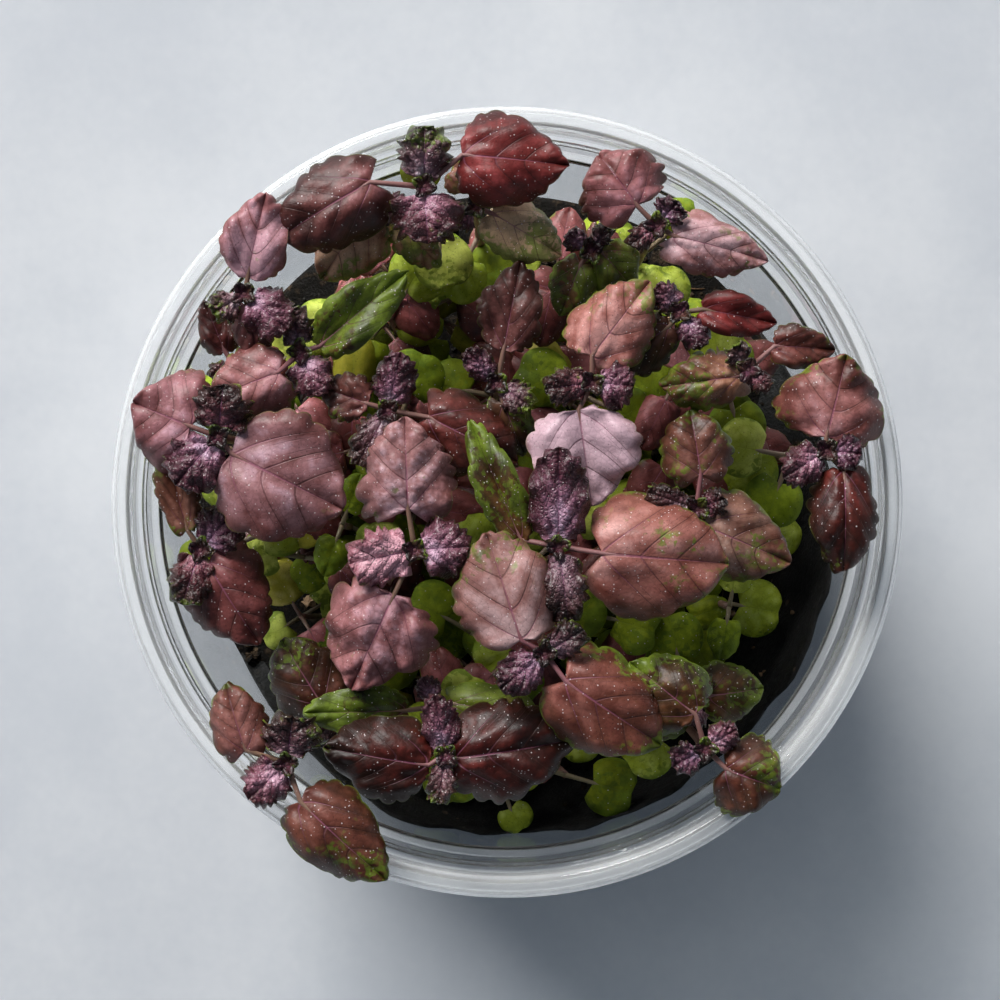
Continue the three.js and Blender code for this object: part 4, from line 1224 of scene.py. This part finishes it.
def toothed(kind, s, t, half, n, ragged):
    """The blade's outline in shares of length and half width, drawn in between the teeth."""
    y = t * half
    x = s - kind["lobe"] * abs(t) ** 1.5 * (1 - s) ** 4
    x = x - kind["notch"] * np.exp(-((y / 0.25) ** 2)) * s**6
    way = 1 - np.arctan2(half, (x - MIDDLE) * 2) / math.pi
    count = kind["teeth"] * (0.85 + 0.3 * vary(n, 12))
    uneven = 0.35 * np.sin(way * 11 + 6.28 * vary(n, 17) + np.where(t < 0, 2.0, 0.0))
    turn = (count * way + 0.3 * vary(n, 13) + np.where(t < 0, 0.4, 0.0) + uneven) % 1
    hollow = 1 - abs(2 * turn - 1) if kind is YOUNG else 1 - np.sin(math.pi * turn**1.3) ** 0.55
    depth = kind["tooth"] * ragged * (0.6 + 0.8 * vary(n, 14) + 0.8 * uneven) * hollow * abs(t) ** kind["cut"]
    finer = np.sin(way * 12 + 6.28 * vary(n, 27) + np.where(t < 0, 1.6, 0.0))
    broad = np.sin(way * 7 + 6.28 * vary(n, 18)) + 0.7 * finer
    depth = depth + (0.08 * ragged * broad - 0.03) * abs(t) ** 2 * (kind["tooth"] > 0)
    return MIDDLE + (x - MIDDLE) * (1 - depth), y * (1 - depth), way


def vein_drift(x, y, n):
    """How far the side veins of this leaf wander along it, and apart on its two halves."""
    apart = np.where(y < 0, 0.06 * vary(n, 28), 0.0) * np.minimum(1, 6 * abs(y))
    return 0.035 * ripples(x * 4.5, y * 3.0, n + 57) + apart


def relief_of(leaf, x, y, t, way, n):
    """How far the blade stands above its middle surface in millimetres, and its swell from 0 to 1."""
    kind, length, width = leaf["kind"], leaf["length"], leaf["width"]
    crinkle = leaf.get("crinkle", 1.0)
    away = abs(y)
    pairs, lean, bend = kind["veins"]
    start = x + vein_drift(x, y, n) - lean * away - bend * away**2
    ridge = abs(np.sin(math.pi * pairs * start)) ** 0.7
    ridge = ridge * np.minimum(1, 7 * away) * (1 - abs(t) ** 8)
    domes = blisters(x * length, y * width / 2, kind["cell"] * (0.85 + 0.3 * vary(n, 19)), n)
    size = width / (15 if kind is FIRST else 8)
    quilt = kind["quilt"] * (0.3 + 0.9 * crinkle) * ridge * size
    blister = kind["blister"] * crinkle**1.3 * domes * (0.35 + 0.65 * ridge)
    turn = 2 * math.pi * (3.2 * way * (1 + 0.4 * vary(n, 15)) + vary(n, 16) + np.where(t < 0, 0.3, 0))
    frill = kind["frill"] * (0.35 + 0.8 * crinkle) * abs(t) ** 3 * np.sin(turn) * size
    tall, fine = kind["roll"]
    rolling = tall * width * ripples(x * 3.6 * fine, y * 2.6 * fine, n + 31) * np.minimum(1, 3 * away)
    short = ripples(x * 9 * fine, y * 7 * fine, n + 77) * np.minimum(1, 4 * away) * crinkle
    rolling = rolling + 0.4 * tall * width * short
    rolling = rolling + kind["vault"] * width * np.sin(math.pi * abs(t)) * np.sqrt(np.clip(x, 0, 1))
    droop = kind["droop"] * (1.5 * vary(n, 26) - 0.25)
    droop = droop * (width * away**3 + 0.8 * length * np.maximum(x - 0.55, 0) ** 2)
    droop = droop + kind["dome"] * width * away**2
    droop = droop + kind["hem"] * width * np.clip((abs(t) - 0.72) / 0.28, 0, 1) ** 2
    swell = ridge * (1 - crinkle) + ridge * domes * crinkle
    return quilt + blister + frill + rolling - droop, swell


def grow_blade(leaf, n):
    kind = leaf["kind"]
    blank = blade_blanks[leaf.get("blank", kind["name"])]
    local = points_of(blank.data)
    s = local[:, 0] - 0.45 * np.sin(2 * math.pi * local[:, 0]) / (2 * math.pi)
    s, t = np.clip(s, 0, 1), local[:, 1]
    half = outline_of(kind, s)
    x, y, way = toothed(kind, s, t, half, n, 0.4 + 0.9 * leaf.get("crinkle", 0.5))
    places = on_blade(leaf, x, y * FULLER, soften=0.05)
    height, swell = relief_of(leaf, x, y, t, way, n)
    places[:, 2] += height
    tone, red, green = leaf["look"]
    look = np.stack([np.full(len(s), tone), np.full(len(s), red), np.full(len(s), green), abs(t)], axis=-1)
    world = (leaf["base"] + places @ leaf_axes(leaf)) * MM
    blade = copy_shaped(blank, "blade", world, look)
    raised = blade.data.attributes.new("swell", "FLOAT", "POINT")
    raised.data.foreach_set("value", swell)
    chart = blade.data.uv_layers[0]
    corner_points = np.empty(len(blade.data.loops), dtype=int)
    blade.data.loops.foreach_get("vertex_index", corner_points)
    drifted = x + vein_drift(x, y, n)
    chart.data.foreach_set("uv", np.stack([drifted, 0.5 + y / 2], axis=-1)[corner_points].ravel())
    chart.name = "UVMap"
    return blade


# %% [markdown]
# One leaf stalk. It leaves the stem, thins towards the blade, and goes on as the midrib under the
# blade, thinner and thinner. Near the base it stands a little proud of the upper face, further on
# it sinks in.

# %% Leaf stalk


def grow_stalk(leaf, thick, look, slim=False):
    """slim is for shaded leaves: the same line with a third of its rings and three sides."""
    axes = leaf_axes(leaf)
    shares = np.array([0.06, 0.16, 0.28, 0.4, 0.5, 0.6])
    ribs = on_blade(leaf, shares, np.zeros(len(shares)), soften=0.05)
    ribs[:, 2] += np.linspace(-0.1, -0.3, len(shares))
    under = leaf["base"] + ribs @ axes
    sag = (leaf["base"] - leaf["from"]) / 3
    start = leaf["from"]
    line = np.vstack([start, start + sag + UP * 0.12, start + 2 * sag + UP * 0.1, leaf["base"], under])
    radii = thick * np.array([1.15, 1.0, 0.92, 0.86, 0.8, 0.66, 0.52, 0.4, 0.28, 0.14])
    blank = stalk_blank
    if slim:
        blank, line, radii = slim_blank, line[::3], radii[::3] * 1.2
    return rod_along(blank, "stalk", line, radii, np.tile([*look, 0.0, 1.0], (len(line), 1)))


# %% [markdown]
# One stem, from below the soil to just under the growing tip, along the same curve as its CAD rod.
# It is thickest at the ground. The root's place is read from the CAD node, whose lowest four
# corners are the foot of the rod.

# %% Stem
SOIL_TOP = 22
FOOT_LEVEL = 18
STEM_STOP = 1.55
STEM_RADIUS = 0.75


def stem_curve(top, root):
    foot = np.array([root[0], root[1], FOOT_LEVEL])
    end = top - UP * STEM_STOP
    knee = foot + (top - foot) * 0.25
    knee[2] = (SOIL_TOP + top[2]) / 2

    def at(t):
        t = np.asarray(t, dtype=float)[..., None]
        return (1 - t) ** 2 * foot + 2 * t * (1 - t) * knee + t**2 * end

    return at


def grow_stem(curve, thin=1.0, pink=0.5):
    t = np.linspace(0, 1, STEM_RINGS + 1)
    radii = STEM_RADIUS * thin * (1.0 - 0.16 * t + 0.06 * np.sin(14 * t))
    look = np.stack([pink * t, t, 0 * t, 0 * t + 1], axis=-1)
    return rod_along(stem_blank, "stem", curve(t), radii, look)


def root_of(corners):
    """The middle of the four lowest corners."""
    return corners[np.argsort(corners[:, 2])[:4]].mean(axis=0)


# %% [markdown]
# The growing tip. Between the two young leaves sits a bud of tiny folded leaves. The bud is a short
# swollen rod, and round it stand four small folded blades, nearly upright.

# %% Growing tip


def grow_tip(top, heading, n):
    line = top + np.outer(np.linspace(-STEM_STOP - 0.2, 1.2, STALK_RINGS + 1), UP)
    radii = np.array([0.62, 0.7, 0.85, 0.98, 1.02, 0.98, 0.88, 0.72, 0.5, 0.22])
    knot = rod_along(stalk_blank, "knot", line, radii, np.tile([0.75, 0.8, 0.0, 1.0], (len(line), 1)))
    bud = []
    for k in range(4):
        out = swung(np.array([1.0, 0, 0]), heading + 45 + 90 * k + 20 * vary(n, k))
        base = top + out * 0.35 + UP * 0.7
        length = 2.3 + 0.7 * vary(n + k, 5)
        tip = base + (out * 0.75 + UP * 0.65) * length * 0.8
        leaf = dict(
            kind=SMALL, blank="shaded", base=base, tip=tip, width=1.7, length=float(np.linalg.norm(tip - base)),
            look=(0.35, 0.3, 0.15 * k), **form_of(n + k),
        )
        bud.append(grow_blade({**leaf, "fold": 0.35, "wave": 0.1}, n + k))
    return knot, bud


# %% [markdown]
# Putting a plant together. All blades of one plant are joined and get their thickness from one
# Solidify modifier, whose lower skin takes the next material in the list: the underside. Then the
# stalks are joined to them, and the whole takes the place of its CAD node.

# %% Assembling plants
BLADE_THICKNESS = 0.22 * MM


def thicken(name, blades, finishes):
    """Joins blades and gives them thickness. finishes are an upper and a lower skin."""
    whole = join(name, blades)
    dress(whole, *finishes)
    apply_modifier(
        whole, "SOLIDIFY", thickness=BLADE_THICKNESS, offset=0.0, use_even_offset=False,
        material_offset=1, material_offset_rim=0,
    )
    bpy.ops.object.shade_smooth_by_angle(angle=math.radians(65))
    return whole


def dress_rods(name, rods, finish):
    whole = join(name, rods)
    dress(whole, finish)
    return whole


def first_leaf(top, row, n, look):
    base_x, base_y, tip_x, tip_y, width, drop = row[:6]
    reach = math.hypot(base_x - top[0], base_y - top[1])
    base = np.array([base_x, base_y, top[2] + 0.5 + 0.12 * reach])
    tip = np.array([tip_x, tip_y, base[2] - drop])
    leaf = {"kind": FIRST, "from": top, "base": base, "tip": tip, "width": width, **form_of(n)}
    leaf["look"], leaf["crinkle"] = look[:3], look[3]
    if len(row) > 6:
        leaf["fold"] = row[6]
    return leaf


def young_leaf(top, row, n):
    out = unit(np.array([row[0] - top[0], row[1] - top[1], 0.0]))
    base = top + 1.5 * out + 0.9 * UP
    tip = np.array([row[0], row[1], top[2] + 2.4])
    tone = row[3] if len(row) > 3 else 0.36 + 0.3 * vary(n, 20)
    look = (tone, 0.5 * vary(n, 21), 0.35 * vary(n, 22))
    leaf = {"kind": YOUNG, "from": top, "base": base, "tip": tip, "width": row[2], "look": look}
    return {**leaf, **form_of(n), "wave": 0.35}


def side_leaf(blade, start, degrees, n):
    out = swung(np.array([1.0, 0, 0]), degrees)
    base = start + blade["reach"] * out + UP
    tip = base + blade["length"] * out - UP * blade["drop"]
    light = 0.3 + 0.75 * vary(n, 23)
    look = (light, 0.25 * vary(n, 24), 0.3 + 0.4 * vary(n, 25))
    kind, width = blade["kind"], blade["width"]
    return {"kind": kind, "from": start, "base": base, "tip": tip, "width": width, "look": look, **form_of(n, 0.5)}


found, missing = [], []


def settle(leaf, tree, label):
    """Gives the leaf the bend of its CAD plate, and notes whether it has one."""
    settled = find_bend(leaf, tree)
    (found if settled else missing).append(label)
    return settled


# %% [markdown]
# The taller seedlings are grown row by row from the plan. Each makes two pieces, as in the CAD
# model: what is purple at the top, and the stem with its green seed leaves.

# %% Taller seedlings


def heading_of(row):
    base_x, base_y, tip_x, tip_y = row["first"][0][:4]
    return math.degrees(math.atan2((base_y + tip_y) / 2 - row["top"][1], (base_x + tip_x) / 2 - row["top"][0]))


def grow_upper(i, row):
    """The growing tip, the two first leaves and the two young leaves of a seedling."""
    name = f"seedling_{i + 1:02d}"
    tree, _ = corners_of(name + "_leaves")
    top = np.array(row["top"], dtype=float)
    firsts = [
        settle(first_leaf(top, leaf, 4 * i + k, row["looks"][k]), tree, f"{name} first {k}")
        for k, leaf in enumerate(row["first"])
    ]
    youngs = [
        settle(young_leaf(top, leaf, 4 * i + 2 + k), tree, f"{name} young {k}")
        for k, leaf in enumerate(row["young"])
    ]
    firsts, youngs = [f for f in firsts if f], [y for y in youngs if y]
    knot, bud = grow_tip(top, heading_of(row), 500 + 4 * i)
    broad = [grow_blade(leaf, 4 * i + k) for k, leaf in enumerate(firsts)]
    broad = thicken("broad", broad, (first_upper, first_under))
    crinkled = [grow_blade(leaf, 4 * i + 2 + k) for k, leaf in enumerate(youngs)] + bud
    crinkled = thicken("crinkled", crinkled, (young_upper, young_under))
    stalks = [grow_stalk(leaf, 0.42, (0.2 + 0.6 * vary(i, 30), 0.6)) for leaf in firsts]
    stalks += [grow_stalk(leaf, 0.34, (0.9, 0.8)) for leaf in youngs]
    stalks = dress_rods("stalks", stalks + [knot], stalk_skin)
    whole = join(name + "_top", [broad, crinkled, stalks])
    settle_piece(whole, "purple_leaf", name + "_leaves")
    return whole


def grow_lower(i, row):
    """The stem of a seedling with its two seed leaves."""
    name = f"seedling_{i + 1:02d}"
    tree, corners = corners_of(name + "_stalk")
    curve = stem_curve(np.array(row["top"], dtype=float), root_of(corners))
    start = curve(0.6 + 0.2 * (vary(i, 5) - 0.5))
    heading = heading_of(row)
    headings = row.get("seed", (heading + 90, heading + 270))
    leaves = [
        settle(side_leaf(SEED_BLADE, start, h, 200 + 2 * i + k), tree, f"{name} seed {k}")
        for k, h in enumerate(headings)
    ]
    leaves = [leaf for leaf in leaves if leaf]
    rods = [grow_stem(curve)] + [grow_stalk(leaf, 0.42, (0.2, 0.5)) for leaf in leaves]
    parts = [dress_rods("rods", rods, stem_skin)]
    if leaves:
        blades = [grow_blade(leaf, 200 + 2 * i + k) for k, leaf in enumerate(leaves)]
        parts.insert(0, thicken("seed_leaves", blades, (seed_upper, seed_under)))
    whole = join(name + "_stem", parts)
    settle_piece(whole, "green_stalk", name + "_stalk")
    return whole


uppers = [grow_upper(i, row) for i, row in enumerate(SEEDLINGS)]
lowers = [grow_lower(i, row) for i, row in enumerate(SEEDLINGS)]
print("upper leaves:", sum(len(u.data.polygons) for u in uppers), "faces")
print("stems and seed leaves:", sum(len(w.data.polygons) for w in lowers), "faces")

# %% [markdown]
# The small seedlings came up later and stand in the shade of the others. Some still have only their
# seed leaves, others have a first pair of small green leaves above them.

# %% Small seedlings


def grow_clump(i, clump):
    name = f"small_seedlings_{i + 1}"
    tree, _ = corners_of(name)
    rods, seed_blades, green_blades = [], [], []
    for k, (x, y, z, heading, pairs) in enumerate(clump["plants"]):
        curve = stem_curve(np.array([x, y, z], dtype=float), clump["root"])
        rods.append(grow_stem(curve, 0.85, 0.25))
        top = np.array([x, y, z - STEM_STOP - 0.2])
        for side, turn in enumerate((0, 180)):
            n = 300 + 12 * i + 4 * k + side
            leaves = [side_leaf(SMALL_BLADE if pairs > 1 else SEED_BLADE, top, heading + turn, n)]
            if pairs > 1:
                leaves.append(side_leaf(SEED_BLADE, curve(0.72), heading + 90 + turn, n + 2))
            for leaf in leaves:
                leaf = settle(leaf, tree, f"{name} plant {k} leaf {side}")
                if not leaf:
                    continue
                rods.append(grow_stalk(leaf, 0.36, (0.15, 0.3)))
                blades = green_blades if leaf["kind"] is SMALL else seed_blades
                blades.append(grow_blade(leaf, n))
    parts = [dress_rods("rods", rods, stem_skin)]
    if green_blades:
        parts.insert(0, thicken("green_leaves", green_blades, (green_upper, green_under)))
    parts.insert(0, thicken("seed_leaves", seed_blades, (seed_upper, seed_under)))
    whole = join(f"green_clump_{i + 1}", parts)
    settle_piece(whole, "young_green", name)
    return whole


clumps = [grow_clump(i, clump) for i, clump in enumerate(CLUMPS)]
print("small seedlings:", sum(len(c.data.polygons) for c in clumps), "faces")
print("leaves placed:", len(found), "left out:", missing)

# %% [markdown]
# Under the taller plants the sowing is so close that little soil is seen. These shaded seedlings
# are too small for solids of their own. They stand on a jittered grid, keep off the bare soil at
# the lower right, and have few faces, because only parts of them show between the upper leaves.

# %% Shaded seedlings
SHADED_STEP = 8.5
SHADED_JITTER = 5
SHADED_SEED = dict(kind=SEED, reach=3.0, length=4.6, width=5.6, drop=1.6)
SHADED_LEAF = dict(kind=SMALL, reach=2.4, length=8.5, width=6.8, drop=1.6)
place_draw = np.random.default_rng(23)


def is_bare(x, y):
    """The crescent of soil at the lower right that no plant covers, and the wall's edge."""
    return math.hypot(x, y) > 41 or x * 0.8 - y * 0.6 > 29 and y < 2


def shaded_leaf(blade, start, heading, n, look):
    leaf = {**side_leaf(blade, start, heading, n), "blank": "shaded", "look": look}
    return {**leaf, "length": float(np.linalg.norm(leaf["tip"] - leaf["base"]))}


def grow_shaded(name, spots, n):
    rods, green, purple = [], [], []
    for x, y in spots:
        n += 4
        top = np.array([x, y, 36 + 12 * place_draw.random()])
        root = top + np.append(6 * (place_draw.random(2) - 0.5), 0)
        heading = 360 * place_draw.random()
        rods.append(grow_stem(stem_curve(top, root), 0.7, 0.4))
        seed_start, leaf_start = top - UP * (5 + STEM_STOP), top - UP * (STEM_STOP + 0.2)
        for side, turn in enumerate((0, 180)):
            light = 0.25 + 0.75 * place_draw.random() ** 1.4
            seed = shaded_leaf(SHADED_SEED, seed_start, heading + 90 + turn, n + side, (light, 0.1, 0.5))
            upper_look = (0.3 + light / 2, 0.6, 0.15)
            upper = shaded_leaf(SHADED_LEAF, leaf_start, heading + turn, n + 2 + side, upper_look)
            green.append(grow_blade(seed, n + side))
            (purple if place_draw.random() < 0.85 else green).append(grow_blade(upper, n + 2 + side))
            rods.append(grow_stalk(seed, 0.32, (0.2, 0.4), slim=True))
            rods.append(grow_stalk(upper, 0.32, (0.5, 0.5), slim=True))
    parts = [thicken("shaded_green", green, (seed_upper, seed_under)), dress_rods("rods", rods, stem_skin)]
    if purple:
        parts.insert(0, thicken("shaded_purple", purple, (first_upper, first_under)))
    whole = join(name, parts)
    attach(whole, "root")
    return whole


spots = []
for place in itertools.product(np.arange(-42, 43, SHADED_STEP), repeat=2):
    spot = np.array(place) + SHADED_JITTER * (place_draw.random(2) - 0.5)
    if not is_bare(*spot):
        spots.append(spot)
shaded = [grow_shaded(f"shaded_seedlings_{k + 1}", spots[k::4], 700 + 300 * k) for k in range(4)]
print(len(spots), "shaded seedlings:", sum(len(s.data.polygons) for s in shaded), "faces")
remove(stem_blank, stalk_blank, slim_blank, *blade_blanks.values())

# %% [markdown]
# The table is a pale, slightly cool grey surface with faint cloudy marks. It is one large plane,
# bent up at its far edges so that side views meet no hard horizon.

# %% Table


def make_table():
    material, _, shader, _, place = open_material("pale_table")
    clouds = noise_of(place, 17.0, 3.0, 0.62)
    grain = noise_of(place, 420.0, 1.0, 0.6)
    mottled = ramp_to(clouds * 0.85 + grain * 0.15, 0.3, 0.7)
    fill(shader, {
        "Base Color": mix(mottled, (0.63, 0.65, 0.695), (0.745, 0.755, 0.785)),
        "Roughness": ramp_to(grain, 0.2, 0.8, 0.55, 0.75), "Normal": bump(grain, 0.15, 0.05 * MM),
    })
    return material


FLAT_REACH = 1.3
EDGE_RISE = 0.9

let_go()
bpy.ops.mesh.primitive_grid_add(x_subdivisions=48, y_subdivisions=48, size=4, location=(0, 0, 0))
table = bpy.context.object
table.name = "table"
for point in table.data.vertices:
    far = max(0.0, math.hypot(point.co.x, point.co.y) - FLAT_REACH)
    point.co.z = EDGE_RISE * far**2
smooth(table)
dress(table, make_table())
print("table:", len(table.data.polygons), "faces")

# %% [markdown]
# Light. A wide soft lamp stands behind and to the left of the tub, as a window would, and throws a
# soft shadow towards the lower right. The room round it is dim, and dimmer away from the window.

# %% Light
KEY_DIRECTION = Vector((-0.47, 0.88, 0.0)).normalized()
KEY_DISTANCE = 2.4
KEY_ELEVATION = math.radians(30)

let_go()
key_place = KEY_DIRECTION * KEY_DISTANCE * math.cos(KEY_ELEVATION)
key_place.z = KEY_DISTANCE * math.sin(KEY_ELEVATION)
bpy.ops.object.light_add(type="AREA", location=key_place)
key = bpy.context.object
key.data.shape = "DISK"
key.data.size = 1.5
key.data.energy = 93.5
key.data.color = (1.0, 0.99, 0.965)
key.rotation_euler = (Vector((0, 0, 0.03)) - key_place).to_track_quat("-Z", "Y").to_euler()

world = bpy.data.worlds.new("room")
bpy.context.scene.world = world
world.use_nodes = True
room = world.node_tree
ways = {0: add_node(room, "ShaderNodeTexCoord")["Generated"], 1: key_place.normalized()}
facing = add_node(room, "ShaderNodeVectorMath", ways, operation="DOT_PRODUCT")["Value"]
glow = mix(ramp_to(facing, -0.5, 1.0), (0.03, 0.04, 0.052), (0.165, 0.21, 0.25))
fill(room.nodes["Background"], {"Color": glow})
bpy.context.scene.view_settings.view_transform = "Standard"
print("key lamp at", [round(v, 2) for v in key_place])
